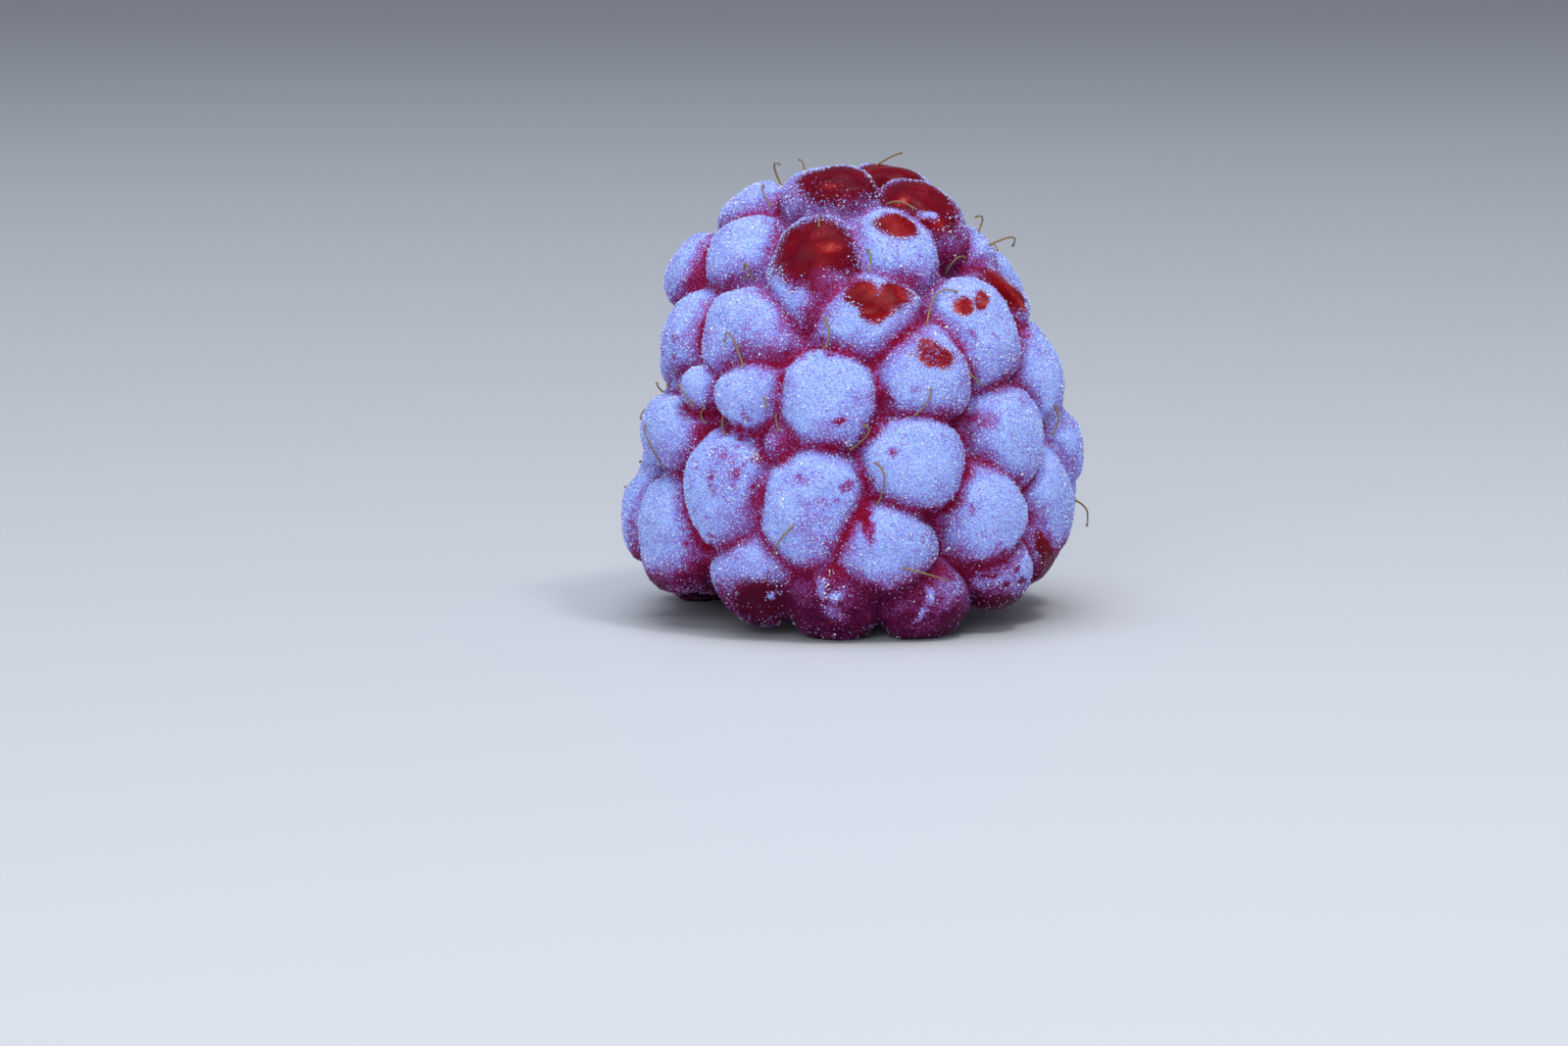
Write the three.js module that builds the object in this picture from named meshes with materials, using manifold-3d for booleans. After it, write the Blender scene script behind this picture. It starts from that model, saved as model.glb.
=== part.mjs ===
// A raspberry as picked, standing on its open end with the tip up.
// Millimetres, +Z up.  The front of the berry faces -Y and +X is to its right.
// The origin is on the surface it stands on, below the middle of the berry.
//
// The fruit is one piece: some eighty drupelets that have grown together into a
// hollow, pointed cup.  Each drupelet is a rounded cushion with its root sunk in
// the wall of the cup, and all of them are fused into one closed solid.

import * as THREE from 'three';
import { mergeVertices } from 'three/addons/utils/BufferGeometryUtils.js';
import Module from 'manifold-3d';

const wasm = await Module();
wasm.setup();

// ---- the outline that the crowns of the drupelets touch -------------------

const WIDEST_RADIUS = 10.5;       // half the width of the berry
const WIDEST_HEIGHT = 4.3;        // the berry is widest low down
const TIP_HEIGHT = 20.8;          // crown of the topmost drupelets
const LOWER_CURVE = 7.0;          // how far below its widest level the outline would close

// ---- the drupelets ---------------------------------------------------------

const DRUPELET_COUNT = 82;        // seen and unseen, all round the berry
const CUSHION_OVERLAP = 1.14;     // a cushion is this much wider than what shows of it
const CUSHION_DEPTH = 2.2;        // from the crown down to its widest level
const CUSHION_FULLNESS = 2.45;    // 2 is an ellipsoid, and more has fuller shoulders
const ROOT_DEPTH = 4.1;           // from the crown down to the end of the root
const CUSHION_SIDES = 10;         // sides round one cushion
const CROWN_ANGLES = [24, 48, 70, 90];    // degrees from the crown to each ring of its cap
const NARROWEST = 3.2;            // least width of a drupelet that fills a space
const RIM_HEIGHT = 1.85;          // drupelets with their crown below this rest on the surface
const FOOT_SINK = 0.2;            // depth of the flat spot that its weight presses
const FRONT_DEPTH = 0.0;          // the spaces behind this are filled by the rule
const GRID_STEP = 0.55;           // distance between the places tried for a drupelet
const EVENING_ROUNDS = 14;        // times that the drupelets even out their spaces

// The drupelets of the front, from the tip to the rim, each by its crown:
// [across, height, width, tall, lean in degrees towards the right, how far it stands out].
const FRONT_DRUPELETS = [
  // round the tip
  [-1.0, 20.1, 4.4, 3.3, 0, 0.2],
  [3.8, 19.0, 3.9, 4.4, -8, 0.2],
  [-5.1, 19.0, 4.1, 3.7, -10, 0.3],
  // the shoulder
  [-7.5, 16.1, 4.0, 3.6, 0, 0.7],
  [-5.7, 17.4, 4.0, 3.9, 22, 0.1],
  [-1.8, 16.7, 4.1, 5.5, -4, 0],
  [2.3, 17.8, 3.9, 4.3, 6, 0],
  [6.5, 17.0, 2.9, 4.6, -14, -0.2],
  [7.8, 14.9, 3.8, 4.5, -18, -0.15],
  // above the middle
  [-8.0, 13.6, 3.8, 4.0, 0, 0],
  [-5.3, 13.8, 4.9, 4.0, 12, 0],
  [0.7, 14.7, 4.9, 4.2, 0, 0],
  [6.4, 13.8, 4.6, 4.8, -20, 0],
  [9.3, 11.1, 3.6, 5.4, -10, 0.2],
  [3.6, 12.3, 4.2, 4.6, 0, 0],
  // round the middle
  [-7.4, 11.0, 1.9, 2.3, 0, 0],
  [-5.0, 11.2, 3.3, 3.4, 10, 0],
  [-1.2, 11.1, 4.1, 4.4, 0, 0],
  [-3.5, 9.0, 2.4, 2.6, 0, -0.7],
  [7.9, 8.9, 3.9, 4.5, 0, 0],
  [10.1, 8.0, 3.7, 4.4, 0, 0.35],
  // below the middle
  [-8.9, 9.0, 4.7, 3.4, 0, 0],
  [-6.4, 6.7, 4.0, 5.1, -6, 0],
  [-2.0, 5.9, 4.2, 5.3, 6, 0],
  [3.2, 8.1, 4.2, 4.2, 0, 0],
  [6.9, 5.4, 3.6, 4.6, 0, 0],
  [9.8, 5.5, 4.1, 5.3, 0, 0.1],
  // the rim
  [-10.3, 4.5, 4.0, 4.1, 0, 0],
  [-9.2, 4.1, 4.6, 4.8, 8, 0],
  [-4.6, 1.9, 4.3, 4.0, 0, 0],
  [1.5, 4.0, 4.3, 4.1, 0, 0],
  [-0.9, 1.6, 4.3, 4.0, 0, 0],
  [3.6, 1.5, 4.1, 3.2, 0, 0],
  [7.4, 2.1, 3.7, 3.3, 0, 0],
  [9.6, 3.9, 4.0, 4.3, 0, -0.25],
];

// Those that look out from behind the front ones, also from the tip to the rim:
// [turn in degrees from the front towards the right, height, width, tall, lean, how far it stands out].
const HALF_HIDDEN_DRUPELETS = [
  [125, 20.2, 4.0, 3.8, 0, 0],
  [-131, 20.2, 3.9, 3.8, 0, -0.35],
  [-102, 12.6, 4.3, 4.0, 0, -0.6],
  [-65, 11.4, 3.6, 3.2, 0, -0.9],
  [-98, 9.8, 4.2, 3.4, 0, -1.8],
  [-98, 1.9, 3.9, 3.6, 0, -0.8],
  [-62, 1.9, 3.8, 3.4, 0, -0.9],
  [98, 18.2, 3.8, 3.6, 0, -0.65],
  [-99, 6.9, 4.0, 4.4, 0, -0.8],
  [86, 2.2, 4.0, 3.4, 0, -1.5],
  [108, 2.0, 4.0, 3.4, 0, -1.2],
  [-112, 10.2, 4.0, 3.6, 0, -1.0],
];

// ---- the wall and the hollow that the stem's cone left ----------------------

const GROOVE_FLOOR = 1.75;        // from the crowns in to the wall between the drupelets
const WALL_BOTTOM = 2.2;          // the rim's drupelets reach further down than the wall
const HOLLOW_LIP_RADIUS = 6.5;    // the mouth flares between the lowest drupelets
const HOLLOW_LIP_HEIGHT = 1.8;
const HOLLOW_MOUTH_RADIUS = 5.3;
const HOLLOW_DEPTH = 13.2;
const HOLLOW_TAPER = 0.55;        // radius near the top of the hollow, as a share of its mouth
const WALL_SIDES = 36;
const WALL_RINGS = 10;
const HOLLOW_SIDES = 24;
const TRIM_SIZE = 60;             // side of the block that trims the feet level

// ---- the outline as a surface ----------------------------------------------

const radians = THREE.MathUtils.degToRad;

// Half-height of the ellipse that the outline follows at this height.
function curveHeight(height) {
  return height > WIDEST_HEIGHT ? TIP_HEIGHT - WIDEST_HEIGHT : LOWER_CURVE;
}

function outlineRadius(height) {
  const rise = (height - WIDEST_HEIGHT) / curveHeight(height);
  return WIDEST_RADIUS * Math.sqrt(Math.max(0, 1 - rise * rise));
}

function outwards(point) {
  const tall = curveHeight(point.z) ** 2;
  const wide = WIDEST_RADIUS ** 2;
  return new THREE.Vector3(point.x / wide, point.y / wide, (point.z - WIDEST_HEIGHT) / tall).normalize();
}

// The nearest place on the outline in the direction of the berry's middle.
function ontoOutline(point) {
  const x = point.x / WIDEST_RADIUS;
  const y = point.y / WIDEST_RADIUS;
  const z = (point.z - WIDEST_HEIGHT) / curveHeight(point.z);
  const stretch = 1 / Math.hypot(x, y, z);
  return new THREE.Vector3(point.x * stretch, point.y * stretch,
    WIDEST_HEIGHT + (point.z - WIDEST_HEIGHT) * stretch);
}

// ---- where the drupelets sit ------------------------------------------------

function frontDrupelet([across, height, width, tall, lean, proud]) {
  const radius = outlineRadius(height);
  const depth = -Math.sqrt(Math.max(0, radius * radius - across * across));
  return { crown: ontoOutline(new THREE.Vector3(across, depth, height)), width, tall, lean, proud };
}

function halfHiddenDrupelet([turn, height, width, tall, lean, proud]) {
  const radius = outlineRadius(height);
  const across = radius * Math.sin(radians(turn));
  const depth = -radius * Math.cos(radians(turn));
  return { crown: new THREE.Vector3(across, depth, height), width, tall, lean, proud };
}

// Places all over the outline, in level rings from the tip to the surface.
function outlineGrid() {
  const places = [];
  const lowest = -Math.asin(WIDEST_HEIGHT / LOWER_CURVE);
  let angle = Math.PI / 2;
  while (angle > lowest) {
    const height = WIDEST_HEIGHT + Math.sin(angle) * (angle > 0 ? TIP_HEIGHT - WIDEST_HEIGHT : LOWER_CURVE);
    const radius = outlineRadius(height);
    const count = Math.max(1, Math.round(2 * Math.PI * radius / GRID_STEP));
    for (let i = 0; i < count; i += 1) {
      const turn = 2 * Math.PI * i / count;
      places.push(new THREE.Vector3(radius * Math.cos(turn), radius * Math.sin(turn), height));
    }
    const slope = Math.hypot(WIDEST_RADIUS * Math.sin(angle), curveHeight(height) * Math.cos(angle));
    angle -= GRID_STEP / slope;
  }
  return places;
}

// Fills what the placed drupelets leave free: each new one starts at the place
// furthest from all others, and then they all move to the middle of their space.
function fillDrupelets(placed) {
  const grid = outlineGrid();
  const crowns = placed.map((drupelet) => drupelet.crown.clone());
  const nearest = grid.map((place) => (
    place.y < FRONT_DEPTH ? 0 : Math.min(...crowns.map((crown) => crown.distanceTo(place)))
  ));
  while (crowns.length < DRUPELET_COUNT) {
    const furthest = nearest.indexOf(Math.max(...nearest));
    const crown = grid[furthest].clone();
    crowns.push(crown);
    grid.forEach((place, i) => {
      nearest[i] = Math.min(nearest[i], crown.distanceTo(place));
    });
  }
  for (let round = 0; round < EVENING_ROUNDS; round += 1) {
    const sums = crowns.map(() => new THREE.Vector3());
    const counts = crowns.map(() => 0);
    for (const place of grid) {
      const distances = crowns.map((crown) => crown.distanceToSquared(place));
      const owner = distances.indexOf(Math.min(...distances));
      if (place.y >= FRONT_DEPTH) {
        sums[owner].add(place);
        counts[owner] += 1;
      }
    }
    for (let i = placed.length; i < crowns.length; i += 1) {
      crowns[i] = ontoOutline(sums[i].divideScalar(counts[i]));
    }
  }
  return crowns.slice(placed.length).map((crown) => {
    const spaces = crowns.map((other) => other.distanceTo(crown)).filter((space) => space > 0);
    spaces.sort((one, other) => one - other);
    const width = Math.max(NARROWEST, (spaces[0] + spaces[1] + spaces[2] + spaces[3]) / 4);
    return { crown, width, tall: width, lean: 0, proud: 0 };
  });
}

// ---- solids ------------------------------------------------------------------

function toManifold(geometry) {
  const bare = geometry.clone();
  bare.deleteAttribute('normal');
  bare.deleteAttribute('uv');
  const merged = mergeVertices(bare, 1e-5);
  return new wasm.Manifold(new wasm.Mesh({
    numProp: 3,
    vertProperties: Float32Array.from(merged.attributes.position.array),
    triVerts: Uint32Array.from(merged.index.array),
  }));
}

function toGeometry(manifold) {
  const mesh = manifold.getMesh();
  const geometry = new THREE.BufferGeometry();
  geometry.setAttribute('position', new THREE.BufferAttribute(mesh.vertProperties, 3));
  geometry.setIndex(new THREE.BufferAttribute(mesh.triVerts, 1));
  geometry.computeVertexNormals();
  return geometry;
}

// A lathed solid that stands on Z: its rows are [radius, height] from below up.
function turned(rows, sides) {
  const points = rows.map(([radius, height]) => new THREE.Vector2(radius, height));
  return new THREE.LatheGeometry(points, sides).rotateX(Math.PI / 2);
}

// One cushion on its root.  Its own Z points out of the berry, its X runs round it.
function drupeletSolid({ crown, width, tall, lean, proud }) {
  const out = outwards(crown);
  const around = new THREE.Vector3(-out.y, out.x, 0).normalize();
  const up = new THREE.Vector3().crossVectors(out, around);
  around.applyAxisAngle(out, radians(-lean));
  up.applyAxisAngle(out, radians(-lean));
  const halfWidth = width / 2 * CUSHION_OVERLAP;
  const halfTall = tall / 2 * CUSHION_OVERLAP;
  const middle = crown.clone().addScaledVector(out, proud - CUSHION_DEPTH);
  if (crown.z < RIM_HEIGHT) {
    const dual = CUSHION_FULLNESS / (CUSHION_FULLNESS - 1);
    const sideHang = Math.hypot(halfWidth * around.z, halfTall * up.z) ** dual;
    const crownHang = Math.abs(CUSHION_DEPTH * out.z) ** dual;
    const hang = (sideHang + crownHang) ** (1 / dual);
    middle.z = hang - FOOT_SINK;
  }
  const rows = [[0, CUSHION_DEPTH - ROOT_DEPTH]];
  const bend = 2 / CUSHION_FULLNESS;
  for (const angle of [...CROWN_ANGLES].reverse()) {
    const radius = Math.sin(radians(angle)) ** bend;
    rows.push([radius, CUSHION_DEPTH * Math.max(0, Math.cos(radians(angle))) ** bend]);
  }
  rows.push([0, CUSHION_DEPTH]);
  const cushion = turned(rows, CUSHION_SIDES);
  cushion.scale(halfWidth, halfTall, 1);
  const place = new THREE.Matrix4().makeBasis(around, up, out).setPosition(middle);
  return toManifold(cushion.applyMatrix4(place));
}

// The wall follows the outline a little way in, as deep as the floor of the grooves.
function wallSolid() {
  const rows = [[0, WALL_BOTTOM]];
  for (let i = 0; i <= WALL_RINGS; i += 1) {
    const height = WALL_BOTTOM + (TIP_HEIGHT - WALL_BOTTOM) * Math.sin(Math.PI / 2 * i / WALL_RINGS);
    const outline = new THREE.Vector3(outlineRadius(height), 0, height);
    const inner = outline.addScaledVector(outwards(outline), -GROOVE_FLOOR);
    rows.push([Math.max(0, inner.x), Math.max(WALL_BOTTOM, inner.z)]);
  }
  return toManifold(turned(rows, WALL_SIDES));
}

// The hollow is a blunt cone, open below, with a flared mouth.
function hollowSolid() {
  const belowSurface = -1;
  const shoulder = HOLLOW_MOUTH_RADIUS * HOLLOW_TAPER;
  return toManifold(turned([
    [0, belowSurface],
    [HOLLOW_LIP_RADIUS, belowSurface],
    [HOLLOW_LIP_RADIUS, WALL_BOTTOM],
    [HOLLOW_MOUTH_RADIUS, WALL_BOTTOM + HOLLOW_LIP_HEIGHT],
    [shoulder, HOLLOW_DEPTH - 2.2],
    [shoulder * 0.7, HOLLOW_DEPTH - 0.7],
    [0, HOLLOW_DEPTH],
  ], HOLLOW_SIDES));
}

// The fruit without the pinholes that stay closed where three cushions meet.
function largestBody(solid) {
  const bodies = solid.decompose();
  return bodies.reduce((largest, body) => (body.volume() > largest.volume() ? body : largest));
}

function raspberry() {
  const placed = [...FRONT_DRUPELETS.map(frontDrupelet), ...HALF_HIDDEN_DRUPELETS.map(halfHiddenDrupelet)];
  const drupelets = [...placed, ...fillDrupelets(placed)];
  let fruit = wallSolid();
  for (const drupelet of drupelets) {
    fruit = fruit.add(drupeletSolid(drupelet));
  }
  const below = new THREE.BoxGeometry(TRIM_SIZE, TRIM_SIZE, TRIM_SIZE).translate(0, 0, -TRIM_SIZE / 2);
  fruit = fruit.subtract(hollowSolid()).subtract(toManifold(below));
  fruit = largestBody(fruit);
  const skin = new THREE.MeshStandardMaterial({ color: 0xa8a4dc, roughness: 0.85, metalness: 0 });
  const mesh = new THREE.Mesh(toGeometry(fruit), skin);
  mesh.name = 'raspberry';
  return mesh;
}

const part = new THREE.Group();
part.name = 'raspberry_part';
part.add(raspberry());

export default part;
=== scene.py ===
# %% [markdown]
# # A frosted raspberry
# A raspberry is one fruit made of some eighty small fruits, the drupelets, that grew
# together round a cone.  Picking pulls the cone out and leaves a hollow cup.  This one
# is frozen: rime covers most of the skin, and bare dark red shows where it melted.
# The lesson starts with the measured frame that every piece has to fit.

# %% Load the measured frame
import bpy
import math
import numpy as np
from mathutils import Matrix, Vector, noise


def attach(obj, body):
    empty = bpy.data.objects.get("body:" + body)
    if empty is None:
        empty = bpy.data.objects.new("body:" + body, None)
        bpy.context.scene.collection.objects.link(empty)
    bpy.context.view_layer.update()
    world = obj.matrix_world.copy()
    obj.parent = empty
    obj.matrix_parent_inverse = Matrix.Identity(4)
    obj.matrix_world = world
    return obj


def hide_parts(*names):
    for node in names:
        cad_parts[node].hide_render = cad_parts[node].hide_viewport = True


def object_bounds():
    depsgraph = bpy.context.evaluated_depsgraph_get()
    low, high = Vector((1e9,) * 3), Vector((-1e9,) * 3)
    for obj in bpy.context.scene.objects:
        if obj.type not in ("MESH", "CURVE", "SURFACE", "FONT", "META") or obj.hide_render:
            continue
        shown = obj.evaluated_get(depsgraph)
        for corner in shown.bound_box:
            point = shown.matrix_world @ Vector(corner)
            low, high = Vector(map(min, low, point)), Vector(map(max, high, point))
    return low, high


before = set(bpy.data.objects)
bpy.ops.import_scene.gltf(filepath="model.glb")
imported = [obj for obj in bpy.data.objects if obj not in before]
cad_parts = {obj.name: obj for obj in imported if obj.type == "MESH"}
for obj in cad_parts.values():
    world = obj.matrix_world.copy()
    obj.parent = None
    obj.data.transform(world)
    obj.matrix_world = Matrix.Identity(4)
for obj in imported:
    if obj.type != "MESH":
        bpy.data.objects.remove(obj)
solid_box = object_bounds()
MM = 0.001


def in_mm(box):
    return [[round(v / MM, 2) for v in corner] for corner in box]


print("solid box in mm:", in_mm(solid_box))

# %% [markdown]
# ## Camera, floor and light
# The berry stands on a plain pale floor.  A long lens nearly eight degrees above the
# level keeps the berry's proportions, as a product photographer would have it.  A broad
# cool panel above gives the rime its soft glow, a fill from the front opens the shadows,
# and a small lamp draws the gloss on the bare skin.

# %% Camera
VIEW_TILT = math.radians(7.7)
VIEW_DISTANCE = 220 * MM
FRAME_WIDTH = 72 * MM            # what the render spans at the middle of the berry
SENSOR_WIDTH = 36                # millimetres, as Blender states it
AIM = Vector((-3.0, 0.5, 4.0)) * MM      # what lies in the middle of the render
NEAREST_SEEN = 1 * MM
FARTHEST_SEEN = 10               # metres

looking = Vector((0, math.cos(VIEW_TILT), -math.sin(VIEW_TILT)))
camera_data = bpy.data.cameras.new("camera")
camera_data.sensor_width = SENSOR_WIDTH
camera_data.lens = SENSOR_WIDTH * VIEW_DISTANCE / FRAME_WIDTH
camera_data.clip_start = NEAREST_SEEN
camera_data.clip_end = FARTHEST_SEEN
camera = bpy.data.objects.new("camera", camera_data)
camera.location = AIM - looking * VIEW_DISTANCE
camera.rotation_euler = (math.pi / 2 - VIEW_TILT, 0, 0)
bpy.context.collection.objects.link(camera)
bpy.context.scene.camera = camera
print("lens", round(camera_data.lens, 1), "mm, camera at", [round(v / MM) for v in camera.location])

# %% Floor
FLOOR_HALF = 4000 * MM
FLOOR_COLOUR = (0.62, 0.63, 0.66)
FLOOR_ROUGHNESS = 0.55


def simple_material(name, colour, roughness):
    material = bpy.data.materials.new(name)
    material.use_nodes = True
    shader = material.node_tree.nodes["Principled BSDF"]
    shader.inputs["Base Color"].default_value = (*colour, 1)
    shader.inputs["Roughness"].default_value = roughness
    return material


floor_mesh = bpy.data.meshes.new("floor")
floor_mesh.from_pydata(
    [(-FLOOR_HALF, -FLOOR_HALF, 0), (FLOOR_HALF, -FLOOR_HALF, 0),
     (FLOOR_HALF, FLOOR_HALF, 0), (-FLOOR_HALF, FLOOR_HALF, 0)], [], [(0, 1, 2, 3)])
floor = bpy.data.objects.new("floor", floor_mesh)
floor_mesh.materials.append(simple_material("pale_floor", FLOOR_COLOUR, FLOOR_ROUGHNESS))
bpy.context.collection.objects.link(floor)
print("floor", round(2 * FLOOR_HALF, 1), "m wide")

# %% Lamps and the room's light
BERRY_MIDDLE = Vector((0, 0, 10)) * MM
# name, place in mm, side of the square in mm, watts, colour
LAMPS = [
    ("sky_panel", (-50, -60, 620), 520, 2.75, (0.86, 0.93, 1.0)),
    ("front_fill", (-50, -250, 110), 160, 0.30, (0.9, 0.95, 1.0)),
    ("small_glint", (50, -60, 160), 28, 0.08, (1.0, 0.97, 0.92)),
]
ROOM_COLOUR = (0.55, 0.6, 0.7, 1)
ROOM_STRENGTH = 0.42


def area_light(name, place, side, watts, colour):
    """A square lamp that faces the berry's middle."""
    data = bpy.data.lights.new(name, "AREA")
    data.shape = "SQUARE"
    data.size = side * MM
    data.energy = watts
    data.color = colour
    lamp = bpy.data.objects.new(name, data)
    lamp.location = Vector(place) * MM
    lamp.rotation_euler = (BERRY_MIDDLE - lamp.location).to_track_quat("-Z", "Y").to_euler()
    bpy.context.collection.objects.link(lamp)


for lamp_row in LAMPS:
    area_light(*lamp_row)
world = bpy.data.worlds.new("studio")
world.use_nodes = True
world.node_tree.nodes["Background"].inputs["Color"].default_value = ROOM_COLOUR
world.node_tree.nodes["Background"].inputs["Strength"].default_value = ROOM_STRENGTH
bpy.context.scene.world = world
bpy.context.scene.view_settings.view_transform = "Standard"

# %% [markdown]
# ## Where the drupelets sit
# The crowns of the drupelets follow one smooth outline: two half ellipses, a tall one
# above the widest level and a short one below it.  A few stand a little out of it or lie
# back.  The drupelets of the front are placed one by one, and a rule fills the rest: each
# new drupelet starts at the place furthest from all others, and then they even out their
# spaces.  The measured solid has its drupelets at the same places.  From here on sizes
# are in millimetres, and meshes are scaled to metres as they are made.

# %% The outline
WIDEST_RADIUS = 10.5
WIDEST_HEIGHT = 4.3
TIP_HEIGHT = 20.8
LOWER_CURVE = 7.0                # how tall the lower half ellipse is


def curve_height(height):
    return np.where(height > WIDEST_HEIGHT, TIP_HEIGHT - WIDEST_HEIGHT, LOWER_CURVE)


def outline_radius(height):
    rise = (height - WIDEST_HEIGHT) / curve_height(height)
    return WIDEST_RADIUS * np.sqrt(np.maximum(0, 1 - rise * rise))


def outwards(point):
    tall = curve_height(point[2]) ** 2
    wide = WIDEST_RADIUS ** 2
    out = np.array([point[0] / wide, point[1] / wide, (point[2] - WIDEST_HEIGHT) / tall])
    return out / np.linalg.norm(out)


def onto_outline(point):
    """The place on the outline in the direction of the berry's middle."""
    middle = np.array([0, 0, WIDEST_HEIGHT])
    scale = np.array([WIDEST_RADIUS, WIDEST_RADIUS, curve_height(point[2])])
    return middle + (point - middle) / np.linalg.norm((point - middle) / scale)


print("outline", 2 * WIDEST_RADIUS, "mm wide and", TIP_HEIGHT, "mm high")

# %% The drupelets of the front, placed one by one
# [across, height, width, tall, lean in degrees towards the right, how far it stands out]
FRONT_DRUPELETS = [
    # round the tip
    [-1.0, 20.1, 4.4, 3.3, 0, 0.2],
    [3.8, 19.0, 3.9, 4.4, -8, 0.2],
    [-5.1, 19.0, 4.1, 3.7, -10, 0.3],
    # the shoulder
    [-7.5, 16.1, 4.0, 3.6, 0, 0.7],
    [-5.7, 17.4, 4.0, 3.9, 22, 0.1],
    [-1.8, 16.7, 4.1, 5.5, -4, 0],
    [2.3, 17.8, 3.9, 4.3, 6, 0],
    [6.5, 17.0, 2.9, 4.6, -14, -0.2],
    [7.8, 14.9, 3.8, 4.5, -18, -0.15],
    # above the middle
    [-8.0, 13.6, 3.8, 4.0, 0, 0],
    [-5.3, 13.8, 4.9, 4.0, 12, 0],
    [0.7, 14.7, 4.9, 4.2, 0, 0],
    [6.4, 13.8, 4.6, 4.8, -20, 0],
    [9.3, 11.1, 3.6, 5.4, -10, 0.2],
    [3.6, 12.3, 4.2, 4.6, 0, 0],
    # round the middle
    [-7.4, 11.0, 1.9, 2.3, 0, 0],
    [-5.0, 11.2, 3.3, 3.4, 10, 0],
    [-1.2, 11.1, 4.1, 4.4, 0, 0],
    [-3.5, 9.0, 2.4, 2.6, 0, -0.7],
    [7.9, 8.9, 3.9, 4.5, 0, 0],
    [10.1, 8.0, 3.7, 4.4, 0, 0.35],
    # below the middle
    [-8.9, 9.0, 4.7, 3.4, 0, 0],
    [-6.4, 6.7, 4.0, 5.1, -6, 0],
    [-2.0, 5.9, 4.2, 5.3, 6, 0],
    [3.2, 8.1, 4.2, 4.2, 0, 0],
    [6.9, 5.4, 3.6, 4.6, 0, 0],
    [9.8, 5.5, 4.1, 5.3, 0, 0.1],
    # the rim
    [-10.3, 4.5, 4.0, 4.1, 0, 0],
    [-9.2, 4.1, 4.6, 4.8, 8, 0],
    [-4.6, 1.9, 4.3, 4.0, 0, 0],
    [1.5, 4.0, 4.3, 4.1, 0, 0],
    [-0.9, 1.6, 4.3, 4.0, 0, 0],
    [3.6, 1.5, 4.1, 3.2, 0, 0],
    [7.4, 2.1, 3.7, 3.3, 0, 0],
    [9.6, 3.9, 4.0, 4.3, 0, -0.25],
]
print(len(FRONT_DRUPELETS), "drupelets on the front")

# %% The drupelets of which only an edge shows from the front
# [turn in degrees from the front towards the right, height, width, tall, lean, how far out]
HALF_HIDDEN_DRUPELETS = [
    [125, 20.2, 4.0, 3.8, 0, 0],
    [-131, 20.2, 3.9, 3.8, 0, -0.35],
    [-102, 12.6, 4.3, 4.0, 0, -0.6],
    [-65, 11.4, 3.6, 3.2, 0, -0.9],
    [-98, 9.8, 4.2, 3.4, 0, -1.8],
    [-98, 1.9, 3.9, 3.6, 0, -0.8],
    [-62, 1.9, 3.8, 3.4, 0, -0.9],
    [98, 18.2, 3.8, 3.6, 0, -0.65],
    [-99, 6.9, 4.0, 4.4, 0, -0.8],
    [86, 2.2, 4.0, 3.4, 0, -1.5],
    [108, 2.0, 4.0, 3.4, 0, -1.2],
    [-112, 10.2, 4.0, 3.6, 0, -1.0],
]
print(len(HALF_HIDDEN_DRUPELETS), "drupelets at the sides")


# %% Put their crowns on the outline
def front_crown(across, height):
    """The place on the front of the outline at this distance across and this height."""
    radius = outline_radius(height)
    depth = -math.sqrt(max(0, radius * radius - across * across))
    return onto_outline(np.array([across, depth, height]))


def crown_at_turn(turn, height):
    radius = outline_radius(height)
    angle = math.radians(turn)
    return np.array([radius * math.sin(angle), -radius * math.cos(angle), height])


placed = [(front_crown(row[0], row[1]), *row[2:]) for row in FRONT_DRUPELETS]
placed += [(crown_at_turn(row[0], row[1]), *row[2:]) for row in HALF_HIDDEN_DRUPELETS]
print(len(placed), "drupelets placed by hand")

# %% A grid of places all over the outline
GRID_STEP = 0.55                 # between neighbouring places


def outline_grid():
    """Places in level rings from the tip down to the surface the berry stands on."""
    places = []
    lowest_angle = -math.asin(WIDEST_HEIGHT / LOWER_CURVE)
    angle = math.pi / 2
    while angle > lowest_angle:
        tall = TIP_HEIGHT - WIDEST_HEIGHT if angle > 0 else LOWER_CURVE
        height = WIDEST_HEIGHT + math.sin(angle) * tall
        radius = float(outline_radius(height))
        count = max(1, math.floor(2 * math.pi * radius / GRID_STEP + 0.5))
        turns = 2 * math.pi * np.arange(count) / count
        places += [(radius * math.cos(t), radius * math.sin(t), height) for t in turns]
        slope = math.hypot(
            WIDEST_RADIUS * math.sin(angle), float(curve_height(height)) * math.cos(angle))
        angle -= GRID_STEP / slope
    return np.array(places)


grid = outline_grid()
print(len(grid), "places on the outline")

# %% The drupelets placed by the rule
DRUPELET_COUNT = 82
NARROWEST = 3.2                  # no drupelet of the rule is narrower
FRONT_DEPTH = 0.0                # the rule fills only what lies behind this depth
EVENING_ROUNDS = 14
NEIGHBOURS = 4                   # a drupelet is as wide as its nearest neighbours are away


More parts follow.
